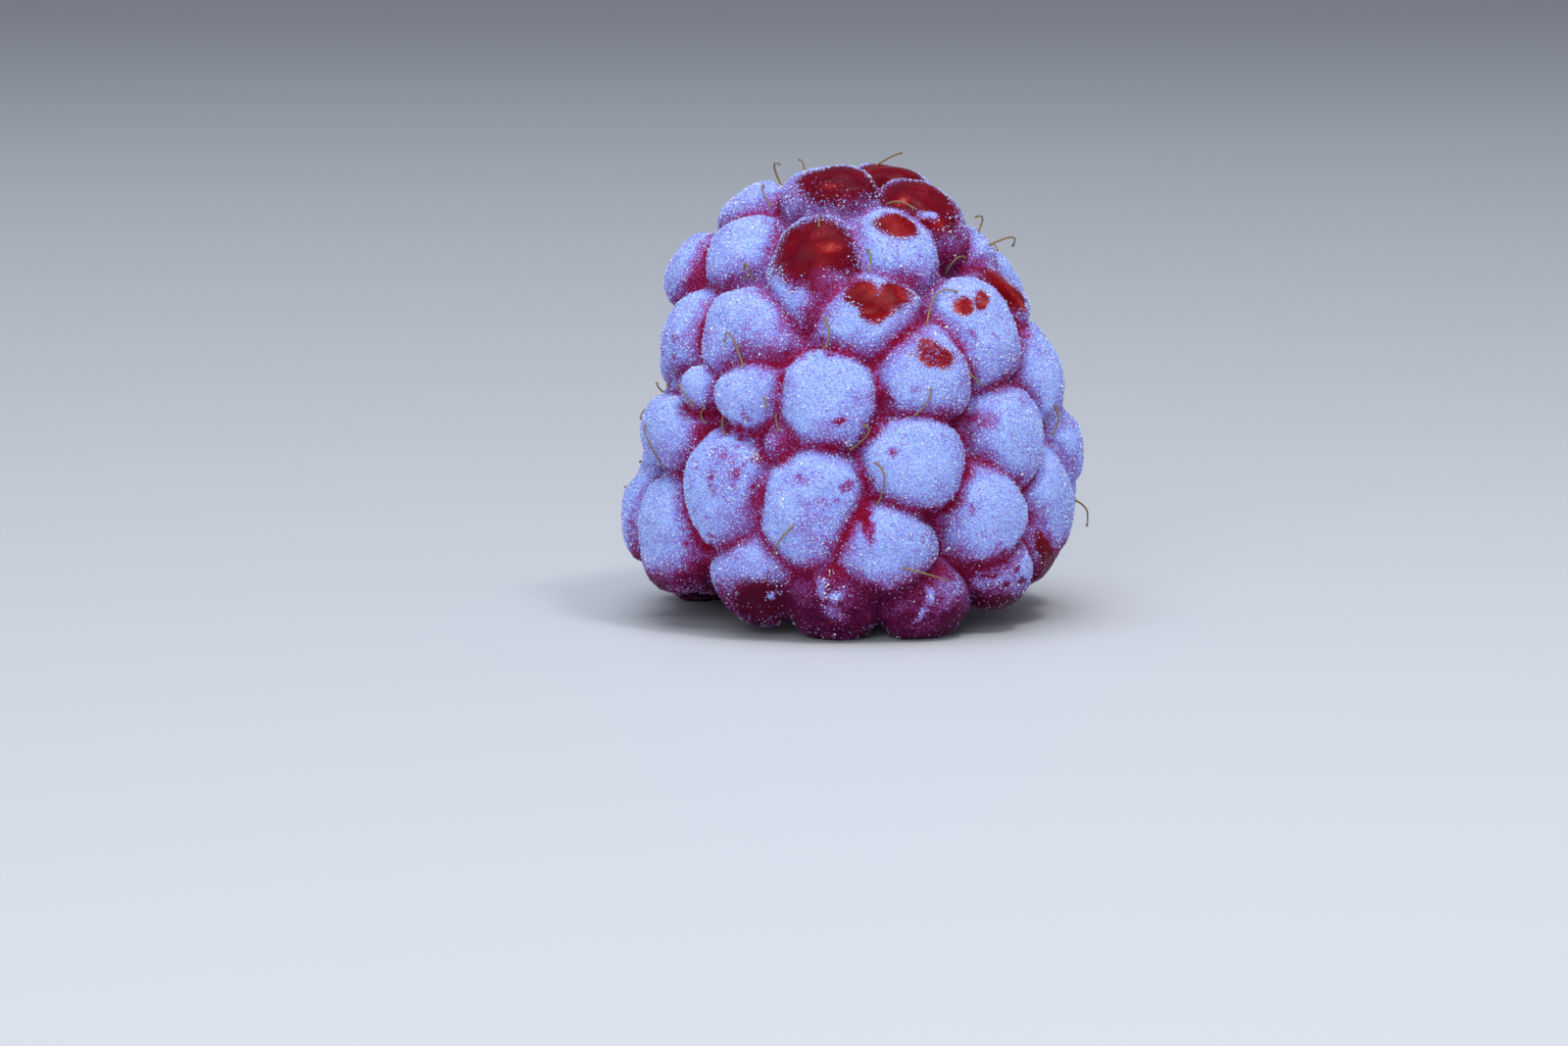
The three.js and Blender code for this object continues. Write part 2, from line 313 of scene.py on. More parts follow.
def fill_drupelets(hand_placed):
    behind = grid[:, 1] >= FRONT_DEPTH
    crowns = [row[0] for row in hand_placed]
    free = np.min([np.linalg.norm(grid - crown, axis=1) for crown in crowns], axis=0)
    free[~behind] = 0
    while len(crowns) < DRUPELET_COUNT:
        crown = grid[int(np.argmax(free))].copy()
        crowns.append(crown)
        free = np.minimum(free, np.linalg.norm(grid - crown, axis=1))
    crowns = np.array(crowns)
    for _ in range(EVENING_ROUNDS):
        whose = ((grid[:, None, :] - crowns[None]) ** 2).sum(axis=2).argmin(axis=1)
        for i in range(len(hand_placed), DRUPELET_COUNT):
            crowns[i] = onto_outline(grid[(whose == i) & behind].mean(axis=0))
    filled = []
    for i in range(len(hand_placed), DRUPELET_COUNT):
        spaces = np.sort(np.linalg.norm(crowns - crowns[i], axis=1))
        width = max(NARROWEST, spaces[1:1 + NEIGHBOURS].mean())
        filled.append((crowns[i], width, width, 0, 0))
    return filled


drupelets = placed + fill_drupelets(placed)
print(len(drupelets), "drupelets in all")

# %% [markdown]
# ## The cushions
# A drupelet is a rounded cushion: wider than what shows of it, because its flanks press
# against its neighbours.  Each one needs a middle, three half sizes and three directions:
# round the berry, up its side and straight out.  The lowest ones settle on the surface.

# %% Size and direction of each cushion
CUSHION_OVERLAP = 1.19           # true width over the width that shows
CUSHION_DEPTH = 2.2              # from the crown down to the middle
CUSHION_FULLNESS = 2.45          # 2 is an ellipsoid, more has fuller shoulders
RIM_HEIGHT = 1.85                # drupelets with a lower crown settle on the surface
FOOT_SINK = 0.2                  # how far those sink in, so that they get a flat foot


def cushion(crown, width, tall, lean, proud):
    """Middle, the three directions as rows, and the three half sizes."""
    out = outwards(crown)
    around = np.array([-out[1], out[0], 0]) / math.hypot(out[0], out[1])
    up = np.cross(out, around)
    angle = math.radians(-lean)
    leaning = around * math.cos(angle) + up * math.sin(angle)
    up = up * math.cos(angle) - around * math.sin(angle)
    half = np.array([width / 2 * CUSHION_OVERLAP, tall / 2 * CUSHION_OVERLAP, CUSHION_DEPTH])
    axes = np.array([leaning, up, out])
    middle = crown + out * (proud - CUSHION_DEPTH)
    if crown[2] < RIM_HEIGHT:
        dual = CUSHION_FULLNESS / (CUSHION_FULLNESS - 1)
        side_hang = np.linalg.norm(half[:2] * axes[:2, 2]) ** dual
        crown_hang = abs(half[2] * axes[2, 2]) ** dual
        middle[2] = (side_hang + crown_hang) ** (1 / dual) - FOOT_SINK
    return middle, axes, half


cushions = [cushion(*row) for row in drupelets]
middles = np.array([c[0] for c in cushions])
axes = np.array([c[1] for c in cushions])
halves = np.array([c[2] for c in cushions])
print("widest cushion", round(2 * float(halves.max()), 2), "mm")

# %% [markdown]
# ## A small kit for Geometry Nodes
# Geometry Nodes place what repeats.  A tree is built once, with named inputs, and a
# modifier feeds it.  The result is turned into a plain mesh, so nothing stays live.


# %% Helpers that build a tree
def new_tree(name, sockets):
    """A geometry tree with its group inputs; sockets maps a name to a socket type."""
    tree = bpy.data.node_groups.new(name, "GeometryNodeTree")
    tree.interface.new_socket("Geometry", in_out="INPUT", socket_type="NodeSocketGeometry")
    for label, kind in sockets.items():
        tree.interface.new_socket(label, in_out="INPUT", socket_type=kind)
    tree.interface.new_socket("Geometry", in_out="OUTPUT", socket_type="NodeSocketGeometry")
    return tree, tree.nodes.new("NodeGroupInput"), tree.nodes.new("NodeGroupOutput")


def add_node(tree, kind, links=None, **settings):
    """A node with its settings; links maps an input's name or number to a socket or value."""
    node = tree.nodes.new(kind)
    for key, value in settings.items():
        setattr(node, key, value)
    for key, value in (links or {}).items():
        if isinstance(value, bpy.types.NodeSocket):
            tree.links.new(value, node.inputs[key])
        else:
            node.inputs[key].default_value = value
    return node


def named_attribute(tree, name, kind="FLOAT"):
    node = add_node(tree, "GeometryNodeInputNamedAttribute", {"Name": name}, data_type=kind)
    return node.outputs["Attribute"]


def calculate(tree, operation, first, second=0.0, third=0.0, clamp=False):
    inputs = {0: first, 1: second, 2: third}
    node = add_node(tree, "ShaderNodeMath", inputs, operation=operation, use_clamp=clamp)
    return node.outputs[0]


def end_tree(tree, result, geometry, material):
    """Ends a tree with plain geometry in one material."""
    real = add_node(tree, "GeometryNodeRealizeInstances", {"Geometry": geometry})
    painted = add_node(tree, "GeometryNodeSetMaterial", {
        "Geometry": real.outputs["Geometry"], "Material": material})
    tree.links.new(painted.outputs["Geometry"], result.inputs["Geometry"])


# %% Helpers that run a tree
def mesh_object(name, mesh):
    thing = bpy.data.objects.new(name, mesh)
    bpy.context.collection.objects.link(thing)
    return thing


def run_tree(source, tree, values):
    """The tree's result on an object, as a new plain mesh."""
    modifier = source.modifiers.new("tree", "NODES")
    modifier.node_group = tree
    items = [item for item in tree.interface.items_tree if item.in_out == "INPUT"]
    identifiers = {item.name: item.identifier for item in items}
    for label, value in values.items():
        modifier[identifiers[label]] = value
    bpy.context.view_layer.update()
    evaluated = source.evaluated_get(bpy.context.evaluated_depsgraph_get())
    mesh = bpy.data.meshes.new_from_object(evaluated)
    source.modifiers.remove(modifier)
    return mesh


# %% [markdown]
# ## The body of the berry
# One point stands for each drupelet, and a tree puts a round cushion on every point with
# its own size and turn.  The hollow is cut out as a blunt cone.  A voxel remesh then
# fuses all into one skin with an even mesh, which is how the parts of the real fruit
# grew together.


# %% One point for each drupelet
def drupelet_points():
    mesh = bpy.data.meshes.new("drupelet_points")
    mesh.from_pydata([Vector(m) * MM for m in middles], [], [])
    turns = mesh.attributes.new("turn", "FLOAT_VECTOR", "POINT")
    sizes = mesh.attributes.new("half_size", "FLOAT_VECTOR", "POINT")
    for i in range(len(middles)):
        turns.data[i].vector = Matrix(axes[i].T.tolist()).to_euler()
        sizes.data[i].vector = Vector(halves[i]) * MM
    return mesh_object("drupelet_points", mesh)


# %% The tree that puts a cushion on every point
def fuller(tree, ball, fullness):
    """Pushes a unit ball out to a cushion: (x2 + y2)^(f/2) + |z|^f = 1."""
    place = add_node(tree, "GeometryNodeInputPosition").outputs["Position"]
    parts = add_node(tree, "ShaderNodeSeparateXYZ", {"Vector": place}).outputs
    flat = add_node(tree, "ShaderNodeCombineXYZ", {"X": parts["X"], "Y": parts["Y"]})
    across = add_node(
        tree, "ShaderNodeVectorMath", {0: flat.outputs["Vector"]}, operation="LENGTH")
    across_part = calculate(tree, "POWER", across.outputs["Value"], fullness)
    tall_part = calculate(tree, "POWER", calculate(tree, "ABSOLUTE", parts["Z"]), fullness)
    total = calculate(tree, "ADD", across_part, tall_part)
    reach = calculate(tree, "POWER", total, calculate(tree, "DIVIDE", 1.0, fullness))
    moved = add_node(tree, "ShaderNodeVectorMath", {
        0: place, "Scale": calculate(tree, "DIVIDE", 1.0, reach)}, operation="SCALE")
    return add_node(tree, "GeometryNodeSetPosition", {
        "Geometry": ball, "Position": moved.outputs["Vector"]}).outputs["Geometry"]


def cushion_tree():
    tree, source, result = new_tree("drupelet_cushions", {
        "Roundness": "NodeSocketInt", "Fullness": "NodeSocketFloat",
        "Wall": "NodeSocketObject", "Skin": "NodeSocketMaterial"})
    dots = add_node(tree, "GeometryNodeMeshToPoints", {"Mesh": source.outputs["Geometry"]})
    ball = add_node(tree, "GeometryNodeMeshIcoSphere", {
        "Radius": 1.0, "Subdivisions": source.outputs["Roundness"]})
    full = fuller(tree, ball.outputs["Mesh"], source.outputs["Fullness"])
    turn = add_node(tree, "FunctionNodeEulerToRotation", {
        "Euler": named_attribute(tree, "turn", "FLOAT_VECTOR")})
    copies = add_node(tree, "GeometryNodeInstanceOnPoints", {
        "Points": dots.outputs["Points"], "Instance": full,
        "Rotation": turn.outputs["Rotation"],
        "Scale": named_attribute(tree, "half_size", "FLOAT_VECTOR")})
    wall = add_node(tree, "GeometryNodeObjectInfo", {"Object": source.outputs["Wall"]})
    both = add_node(tree, "GeometryNodeJoinGeometry")
    tree.links.new(copies.outputs["Instances"], both.inputs["Geometry"])
    tree.links.new(wall.outputs["Geometry"], both.inputs["Geometry"])
    end_tree(tree, result, both.outputs["Geometry"], source.outputs["Skin"])
    return tree


# %% A closed solid turned round the upright axis
def turned(name, rows, sides):
    """A closed solid from [radius, height] rows, from the axis below to the axis above."""
    verts = [(0, 0, rows[0][1] * MM)]
    for radius, height in rows[1:-1]:
        for i in range(sides):
            angle = 2 * math.pi * i / sides
            across, depth = radius * math.cos(angle), radius * math.sin(angle)
            verts.append((across * MM, depth * MM, height * MM))
    verts.append((0, 0, rows[-1][1] * MM))
    faces = []
    rings = len(rows) - 2
    for i in range(sides):
        j = (i + 1) % sides
        faces.append((0, 1 + j, 1 + i))
        for ring in range(rings - 1):
            low, high = 1 + ring * sides, 1 + (ring + 1) * sides
            faces.append((low + i, low + j, high + j, high + i))
        top = 1 + (rings - 1) * sides
        faces.append((top + i, top + j, len(verts) - 1))
    mesh = bpy.data.meshes.new(name)
    mesh.from_pydata(verts, [], faces)
    return mesh_object(name, mesh)


# %% The wall between the drupelets
GROOVE_FLOOR = 1.9               # how far the wall lies below the crowns
WALL_BOTTOM = 2.2
WALL_STEPS = 24
WALL_TIP_RADIUS = 0.1            # narrower rings are left out at the tip


def wall_rows():
    rows = [[0, WALL_BOTTOM]]
    for i in range(WALL_STEPS + 1):
        rise = math.sin(math.pi / 2 * i / WALL_STEPS)
        height = WALL_BOTTOM + (TIP_HEIGHT - WALL_BOTTOM) * rise
        place = np.array([float(outline_radius(height)), 0, height])
        inner = place - outwards(place) * GROOVE_FLOOR
        if inner[0] > WALL_TIP_RADIUS:
            rows.append([inner[0], max(WALL_BOTTOM, inner[2])])
    rows.append([0, TIP_HEIGHT - GROOVE_FLOOR])
    return rows


print("wall of", len(wall_rows()), "rows")


# %% The hollow
HOLLOW_START = -1                # the cutter starts below the surface
HOLLOW_LIP_RADIUS = 6.5
HOLLOW_LIP_HEIGHT = 1.8          # how high the flared lip is above the wall's bottom
HOLLOW_MOUTH_RADIUS = 5.3        # above the lip, where the hollow's own wall begins
HOLLOW_TAPER = 0.55              # radius at the shoulder over radius at the mouth
HOLLOW_SHOULDER = 2.2            # how far the shoulder lies below the hollow's top
HOLLOW_CAP = 0.7                 # how far the cap's ring lies below the top
HOLLOW_CAP_SHARE = 0.7           # the cap's radius over the shoulder's
HOLLOW_DEPTH = 13.2              # its top above the surface


def hollow_rows():
    shoulder = HOLLOW_MOUTH_RADIUS * HOLLOW_TAPER
    return [[0, HOLLOW_START], [HOLLOW_LIP_RADIUS, HOLLOW_START],
            [HOLLOW_LIP_RADIUS, WALL_BOTTOM],
            [HOLLOW_MOUTH_RADIUS, WALL_BOTTOM + HOLLOW_LIP_HEIGHT],
            [shoulder, HOLLOW_DEPTH - HOLLOW_SHOULDER],
            [shoulder * HOLLOW_CAP_SHARE, HOLLOW_DEPTH - HOLLOW_CAP], [0, HOLLOW_DEPTH]]


print("hollow", HOLLOW_DEPTH, "mm deep, its mouth", 2 * HOLLOW_LIP_RADIUS, "mm wide")


# %% Helpers that fuse and cut
def apply_modifiers(thing):
    """Turns an object's modifiers into its plain mesh."""
    evaluated = thing.evaluated_get(bpy.context.evaluated_depsgraph_get())
    mesh = bpy.data.meshes.new_from_object(evaluated)
    thing.modifiers.clear()
    thing.data = mesh


def voxel_remesh(thing, size):
    remesh = thing.modifiers.new("fuse", "REMESH")
    remesh.mode = "VOXEL"
    remesh.voxel_size = size * MM
    remesh.use_smooth_shade = True
    apply_modifiers(thing)


def cut(thing, cutter):
    knife = thing.modifiers.new("cut", "BOOLEAN")
    knife.operation = "DIFFERENCE"
    knife.solver = "MANIFOLD"
    knife.object = cutter
    apply_modifiers(thing)


def remove(*things):
    for thing in things:
        bpy.data.objects.remove(thing, do_unlink=True)


# %% Fuse the body
VOXEL = 0.172                    # about the size of one face of the skin
BALL_SUBDIVISIONS = 5
TURNED_SIDES = 64
# a block below the surface takes off what the lowest cushions would sink into it
BLOCK_ROWS = [[0, -20], [40, -20], [40, 0], [0, 0]]
BLOCK_SIDES = 8
SMOOTH_ROUNDS = 3
SMOOTH_FACTOR = 0.5


def fused_body():
    points = drupelet_points()
    wall = turned("wall", wall_rows(), TURNED_SIDES)
    hollow = turned("hollow", hollow_rows(), TURNED_SIDES)
    block = turned("block", BLOCK_ROWS, BLOCK_SIDES)
    mesh = run_tree(points, cushion_tree(), {
        "Roundness": BALL_SUBDIVISIONS, "Fullness": CUSHION_FULLNESS,
        "Wall": wall, "Skin": bpy.data.materials.new("berry_skin")})
    body = mesh_object("berry_body", mesh)
    voxel_remesh(body, VOXEL)
    cut(body, hollow)
    cut(body, block)
    voxel_remesh(body, VOXEL)
    smooth = body.modifiers.new("soften", "SMOOTH")
    smooth.factor = SMOOTH_FACTOR
    smooth.iterations = SMOOTH_ROUNDS
    apply_modifiers(body)
    remove(points, wall, hollow, block)
    return body


berry = fused_body()
print("berry skin:", len(berry.data.polygons), "faces")

# %% [markdown]
# ## What the skin knows about itself
# The finish follows the form: rime lies thick on the crowns and thins out down the
# flanks, and the grooves are bare and deep red.  So each point of the skin is told which
# drupelet it belongs to, how far it is from the next one, and where it lies on its own
# cushion.  From these numbers come the attributes that the material reads.

# %% Measure the skin against the cushions
FAR_OFF = 1e9                    # beyond any level that is found


def points_of(mesh):
    flat = np.empty(len(mesh.vertices) * 3, dtype=np.float64)
    mesh.vertices.foreach_get("co", flat)
    return flat.reshape(-1, 3)


def against_cushions(places):
    """Level of the nearest and second nearest cushion (1 is its surface), and whose it is."""
    nearest = np.full(len(places), FAR_OFF)
    second = np.full(len(places), FAR_OFF)
    owner = np.zeros(len(places), dtype=int)
    for i in range(len(middles)):
        local = (places - middles[i]) @ axes[i].T / halves[i]
        across = np.hypot(local[:, 0], local[:, 1]) ** CUSHION_FULLNESS
        far = (across + np.abs(local[:, 2]) ** CUSHION_FULLNESS) ** (1 / CUSHION_FULLNESS)
        closer = far < nearest
        second = np.where(closer, nearest, np.minimum(second, far))
        owner[closer] = i
        nearest = np.minimum(nearest, far)
    return nearest, second, owner


def on_own_cushion(places, owner):
    """Each point in the directions of its own cushion, in half sizes: right, up, out."""
    return np.einsum("nij,nj->ni", axes[owner], places - middles[owner]) / halves[owner]


points = points_of(berry.data) / MM
nearest, second, owner = against_cushions(points)
edge = second - nearest
own = on_own_cushion(points, owner)
print("edge distance runs from", round(float(edge.min()), 3), "to", round(float(edge.max()), 3))

# %% Helpers for soft edges and soft noise
LUMP_SHIFT = (17.3, 5.1, 9.7)    # each seed looks at another part of the noise


def smooth_step(low, high, value):
    t = np.clip((value - low) / (high - low), 0, 1)
    return t * t * (3 - 2 * t)


def lumps(places, size, seed):
    """Soft noise from -1 to 1 with lumps of this size in millimetres."""
    offset = Vector([seed * shift for shift in LUMP_SHIFT])
    return np.array([noise.noise(Vector(p) / size + offset) for p in places])


# %% [markdown]
# ## Shape the skin
# Real drupelets are not perfect cushions.  Broad lumps and a fine tremble move the skin a
# little along its normal, and the inside of the hollow gets the soft knobs that the
# drupelets' inner ends leave.  One drupelet of the middle wears a small nub on its top.

# %% Tell the hollow's lining from the outer skin
LINING_SHIFT = 0.25              # the hollow's profile is read this much lower
LINING_FADE = (0.6, 0.15)        # from the profile, in millimetres
LINING_ROOF = 0.4                # the lining ends this far above the hollow's top

profile = np.array(hollow_rows()[1:])
profile_radius = np.interp(points[:, 2] - LINING_SHIFT, profile[:, 1], profile[:, 0])
from_wall = np.hypot(points[:, 0], points[:, 1]) - profile_radius
inside = smooth_step(*LINING_FADE, from_wall) * (points[:, 2] < HOLLOW_DEPTH + LINING_ROOF)
outside = 1 - inside
print("lining is", round(100 * float((inside > 0.5).mean())), "% of the points")

# %% How far each point moves
SKIN_LUMPS = [(0.16, 2.0, 1), (0.05, 0.8, 4), (0.03, 0.35, 2)]     # height, size, seed
CREASE = 0.22                    # how much deeper the grooves are than where cushions meet
CREASE_FADE = (0.0, 0.3)
NUB_DRUPELET, NUB_RIGHT, NUB_UP = 17, -0.12, 0.68     # place in half sizes of its drupelet
NUB_SIZE, NUB_HEIGHT = 0.11, 0.42                     # half sizes, millimetres
KNOB_HEIGHT = 0.35
KNOB_FADE = (0.0, 0.5)
KNOB_SINK = 0.2                  # how far the lining lies back between the knobs
KNOB_LUMP, KNOB_LUMP_SIZE = 0.06, 0.4

push = sum(height * lumps(points, size, seed) for height, size, seed in SKIN_LUMPS)
from_nub = np.hypot(own[:, 0] - NUB_RIGHT, own[:, 1] - NUB_UP) / NUB_SIZE
push += np.where(owner == NUB_DRUPELET, NUB_HEIGHT * np.exp(-from_nub ** 2), 0)
push -= CREASE * (1 - smooth_step(*CREASE_FADE, edge))
push *= outside
knobs = KNOB_HEIGHT * smooth_step(*KNOB_FADE, edge) - KNOB_SINK
push += inside * (knobs + KNOB_LUMP * lumps(points, KNOB_LUMP_SIZE, 3))
print("skin moves by", round(float(push.min()), 3), "to", round(float(push.max()), 3), "mm")

# %% Move the skin
BOX_MARGIN = 0.2                 # how far the skin may pass the measured box


def normals_of(mesh):
    flat = np.empty(len(mesh.vertices) * 3, dtype=np.float32)
    mesh.vertex_normals.foreach_get("vector", flat)
    return flat.reshape(-1, 3)


skin_normals = normals_of(berry.data)
lowest, highest = (np.array(corner) / MM for corner in solid_box)
shaped = points + skin_normals * push[:, None]
shaped = np.clip(shaped, lowest - BOX_MARGIN, highest + BOX_MARGIN)
shaped[:, 2] = np.maximum(shaped[:, 2], 0)
berry.data.vertices.foreach_set("co", (shaped * MM).ravel())
berry.data.update()
print("skin reaches", round(float(shaped[:, 2].max()), 2), "mm high")

# %% [markdown]
# ## Bare patches
# Where a warm breath or a fingertip touched the berry, the rime is gone and the wet dark
# red skin shows.  A patch lies on one drupelet, and its place is counted from that
# drupelet's middle in the drupelet's own directions.  The value is 1 in the patch's
# middle, 0 at its edge and negative outside, so that the material can fray its edge.

# %% Bare patches of the front
# [drupelet, to the right, up, half length, half breadth, turn of the length in degrees]
BARE_PATCHES = [
    # both drupelets of the tip and the one behind them
    [0, 0.4, -0.35, 2.0, 1.5, 10],
    [1, -0.7, 0.3, 2.4, 1.75, -89],
    [35, -1.0, 1.2, 2.2, 1.6, 55],
    # the shoulder
    [6, -0.2, 0.4, 1.1, 0.85, -16],
    [5, 0.0, 0.45, 2.35, 2.15, -41],
    [8, -0.7, 0.55, 1.7, 0.85, -85],
    # a heart above the middle, then two dots and a spot beside it
    [11, -0.22, 0.76, 1.02, 0.88, 80],
    [11, 1.14, 0.66, 1.05, 0.82, 68],
    [11, 0.35, -0.1, 0.9, 0.8, 25],
    [12, -0.96, 1.4, 0.6, 0.46, 31],
    [12, 0.06, 1.16, 0.72, 0.44, 15],
    [14, -0.1, 0.6, 0.6, 0.62, 0],
    [14, 0.1, 0.22, 1.0, 0.6, -8],
    # the rim
    [29, 0.45, -0.3, 1.5, 1.25, 44],
    [34, -0.6, -0.6, 1.3, 0.7, -43],
    [33, 0.2, -1.3, 1.8, 0.8, 0],
]
PATCH_SAG = 0.15                 # how much a patch draws in below its middle
NO_PATCH = -1


def patch_value(drupelet, right, up, length, breadth, turn):
    local = (points - middles[drupelet]) @ axes[drupelet].T
    angle = math.radians(turn)
    along = (local[:, 0] - right) * math.cos(angle) + (local[:, 1] - up) * math.sin(angle)
    athwart = (local[:, 1] - up) * math.cos(angle) - (local[:, 0] - right) * math.sin(angle)
    value = 1 - np.hypot(along / length, athwart / breadth)
    value -= PATCH_SAG * smooth_step(0.0, 1.0, (up - local[:, 1]) / length)
    value[owner != drupelet] = NO_PATCH
    return value


bare = np.full(len(points), float(NO_PATCH))
for patch in BARE_PATCHES:
    bare = np.maximum(bare, patch_value(*patch))
print("bare skin on", round(100 * float((bare > 0).mean()), 1), "% of the points in front")

# %% Bare patches of the other sides, drawn with a fixed seed
LOW_CROWN = 3                    # drupelets with a crown below this melt more often
PATCH_SIZES = {"low": (1.4, 2.2), "high": (0.6, 1.4)}
PATCH_CHANCES = {"low": 0.7, "high": 0.16}
PATCH_SHIFT = 0.8
PATCH_BREADTH = 0.75

patch_draw = np.random.default_rng(7)
for i in range(len(placed), len(drupelets)):
    level = "low" if drupelets[i][0][2] < LOW_CROWN else "high"
    size = patch_draw.uniform(*PATCH_SIZES[level])
    right, up = patch_draw.uniform(-PATCH_SHIFT, PATCH_SHIFT, 2)
    turn = patch_draw.uniform(-90, 90)
    if patch_draw.random() < PATCH_CHANCES[level]:
        bare = np.maximum(bare, patch_value(i, right, up, size, size * PATCH_BREADTH, turn))
print("bare skin on", round(100 * float((bare > 0).mean()), 1), "% of all points")

# %% [markdown]
# ## Small marks
# Ice stays on some bare patches as smears, some of which are painted highlights, and
# elsewhere the rime is rubbed thin.  Amber spots are painted warm glints, light painted
# into the red of the bare skin.  These marks are patches too, and soft noise makes their
# edges ragged, so one function serves them.  Glints are painted highlights: white glitter
# grains crowd there.

# %% Ice and painted highlights left on the bare patches
# rows like those of the patches, each with how much ice stayed; some rows, such as the bright
# smears on drupelets 1 and 31, are painted highlights
ICE_AND_HIGHLIGHT_SMEARS = [
    [5, 0.75, -0.75, 1.3, 0.7, -35, 0.4],
    [1, -1.2, -0.5, 0.6, 0.25, -50, 1.0],
    [31, -0.4, 1.45, 0.25, 0.6, 10, 0.8],
    [31, 0.15, 1.15, 0.4, 0.25, 10, 1.0],
    [31, 0.1, 0.4, 0.7, 0.4, -35, 0.55],
    [32, -0.3, 1.3, 0.2, 0.3, 0, 1.0],
    [32, -0.7, 0.6, 0.45, 0.14, 70, 1.0],
    [29, 1.1, 0.1, 0.3, 0.25, 0, 1.0],
]
SMEAR_ON_BARE = 0.9                # how far the strongest smear lowers a patch's value


def ragged_marks(rows, raggedness, size, seed, fade):
    """The strongest mark at each point; each row is a patch and then its strength."""
    marks = np.zeros(len(points))
    fray = raggedness * lumps(points, size, seed)
    for *patch, strength in rows:
        marks = np.maximum(marks, strength * smooth_step(*fade, patch_value(*patch) + fray))
    return marks


smeared = ragged_marks(ICE_AND_HIGHLIGHT_SMEARS, 0.6, 0.3, 14, (-0.7, 0.9))
bare -= SMEAR_ON_BARE * smeared
print("ice smeared on", int((smeared > 0.1).sum()), "points")

# %% Painted amber glints, worn spots and painted glints
# painted warm highlights on the bare skin, each row with how strongly
AMBER_GLINTS = [
    [0, 0.3, -0.9, 0.5, 0.2, 0, 1.0],
    [1, -1.54, 0.83, 0.4, 0.25, -30, 1.0],
    [1, -1.06, -1.2, 0.55, 0.38, -60, 1.0],
    [5, 0.6, 0.6, 0.6, 0.32, 0, 1.0],
    [8, -0.8, 0.1, 1.2, 0.25, -80, 1.0],
]
# each row ends with how much rime the spot lost
WORN_SPOTS = [
    [5, 0.1, -0.8, 1.7, 1.0, 0, 0.6],
    [10, 1.23, -0.1, 1.3, 1.3, 0, 0.05],
    [12, -1.42, 0.1, 0.16, 0.6, 0, 0.5],
    [17, 0.64, -1.22, 0.35, 0.22, 10, 0.7],
    [19, -1.73, 0.85, 0.5, 0.7, 0, 0.4],
    [22, 0.7, 0.5, 0.9, 1.7, 0, 0.25],
    [22, 1.3, 0.6, 0.3, 1.5, 4, 0.35],
    [23, 0.3, -0.4, 1.2, 1.6, 0, 0.3],
    [23, 1.48, 1.27, 0.3, 0.5, -20, 0.7],
    [24, -1.39, 0.45, 0.3, 0.25, -30, 0.7],
    [30, -0.8, 1.2, 0.35, 1.2, 10, 0.75],
]
# painted highlights: rows like those of the patches, where white glitter grains crowd
GLINTS = [
    [17, 1.01, -2.15, 0.15, 0.15, 0],
    [22, 1.85, 1.32, 0.12, 0.3, 15],
    [23, -1.27, 0.45, 0.12, 0.35, 0],
    [31, -0.1, 1.67, 0.12, 0.4, 0],
    [31, 0.16, 1.26, 0.4, 0.15, 10],
]
GLINT_EDGE = -0.3                # patch value at which a glint ends

amber_glint = ragged_marks(AMBER_GLINTS, 0.3, 0.25, 18, (-0.4, 0.9))
worn = ragged_marks(WORN_SPOTS, 0.35, 0.3, 17, (0.0, 0.5))
glinting = np.zeros(len(points))
for glint in GLINTS:
    glinting = np.maximum(glinting, patch_value(*glint) > GLINT_EDGE)
print("amber_glint", int((amber_glint > 0.1).sum()), "worn", int((worn > 0.1).sum()),
      "glinting", int(glinting.sum()), "points")

# %% [markdown]
# ## How much rime each point wears
# Frost grows from the air, so it is thick where a drupelet stands out and thin in the
# grooves and underneath.  Thinner rime on the lower right of each drupelet is painted
# shade, on the side turned from the light.  The rule multiplies these influences, and soft
# noise keeps it from looking ruled.  The result is one number from 0 to 1.

# %% Drupelets that differ from the others
RIME_SHARE = {0: 0.75, 1: 0.5, 10: 0.92, 18: 0.45, 26: 1.3, 29: 0.8, 31: 0.3, 32: 0.34}
OTHER_RIME_SHARES = (0.7, 1.0)   # drawn for the drupelets that the rule placed
# how dark bare skin is or, below zero, how pale under a film of ice
RIPENESS = {0: 0.4, 1: 0.4, 5: 0.3, 35: 0.35, 12: -0.8, 14: -0.5}

rime_draw = np.random.default_rng(3)
cover = np.array([RIME_SHARE.get(i, 1.0) for i in range(len(drupelets))])
cover[len(placed):] = rime_draw.uniform(*OTHER_RIME_SHARES, len(drupelets) - len(placed))
ripeness = np.array([RIPENESS.get(i, 0.0) for i in range(len(drupelets))])[owner]
print("rime shares from", round(float(cover.min()), 2), "to", round(float(cover.max()), 2))

# %% Rime on crowns, flanks and grooves
SHADE_SIDE_RIGHT, SHADE_SIDE_UP, SHADE_SIDE_FADE = 0.5, 0.75, (-0.1, 0.9)     # painted shade: right and below, turned from the light
BAND, SHADE_SIDE_BAND, BAND_LUMP = 0.8, 0.4, 0.5                # how wide the thin flanks are
NARROWEST_BAND = 0.3
GROOVE_FADE, FLANK_FADE = (0.01, 0.08), (0.08, 0.36)
CROWN_FADE = (0.15, 0.85)
DOWN_FADE, LOW_FADE = (0.1, -0.75), (5.0, 2.0)
GROOVE_RIME, FLANK_RIME = 0.08, 0.92
LOW_RIME, CROWN_RIME = 0.55, 0.45
SHADE_SIDE_LOSS, CROWN_SHADE_RELIEF, DOWN_LOSS = 0.5, 0.45, 0.85

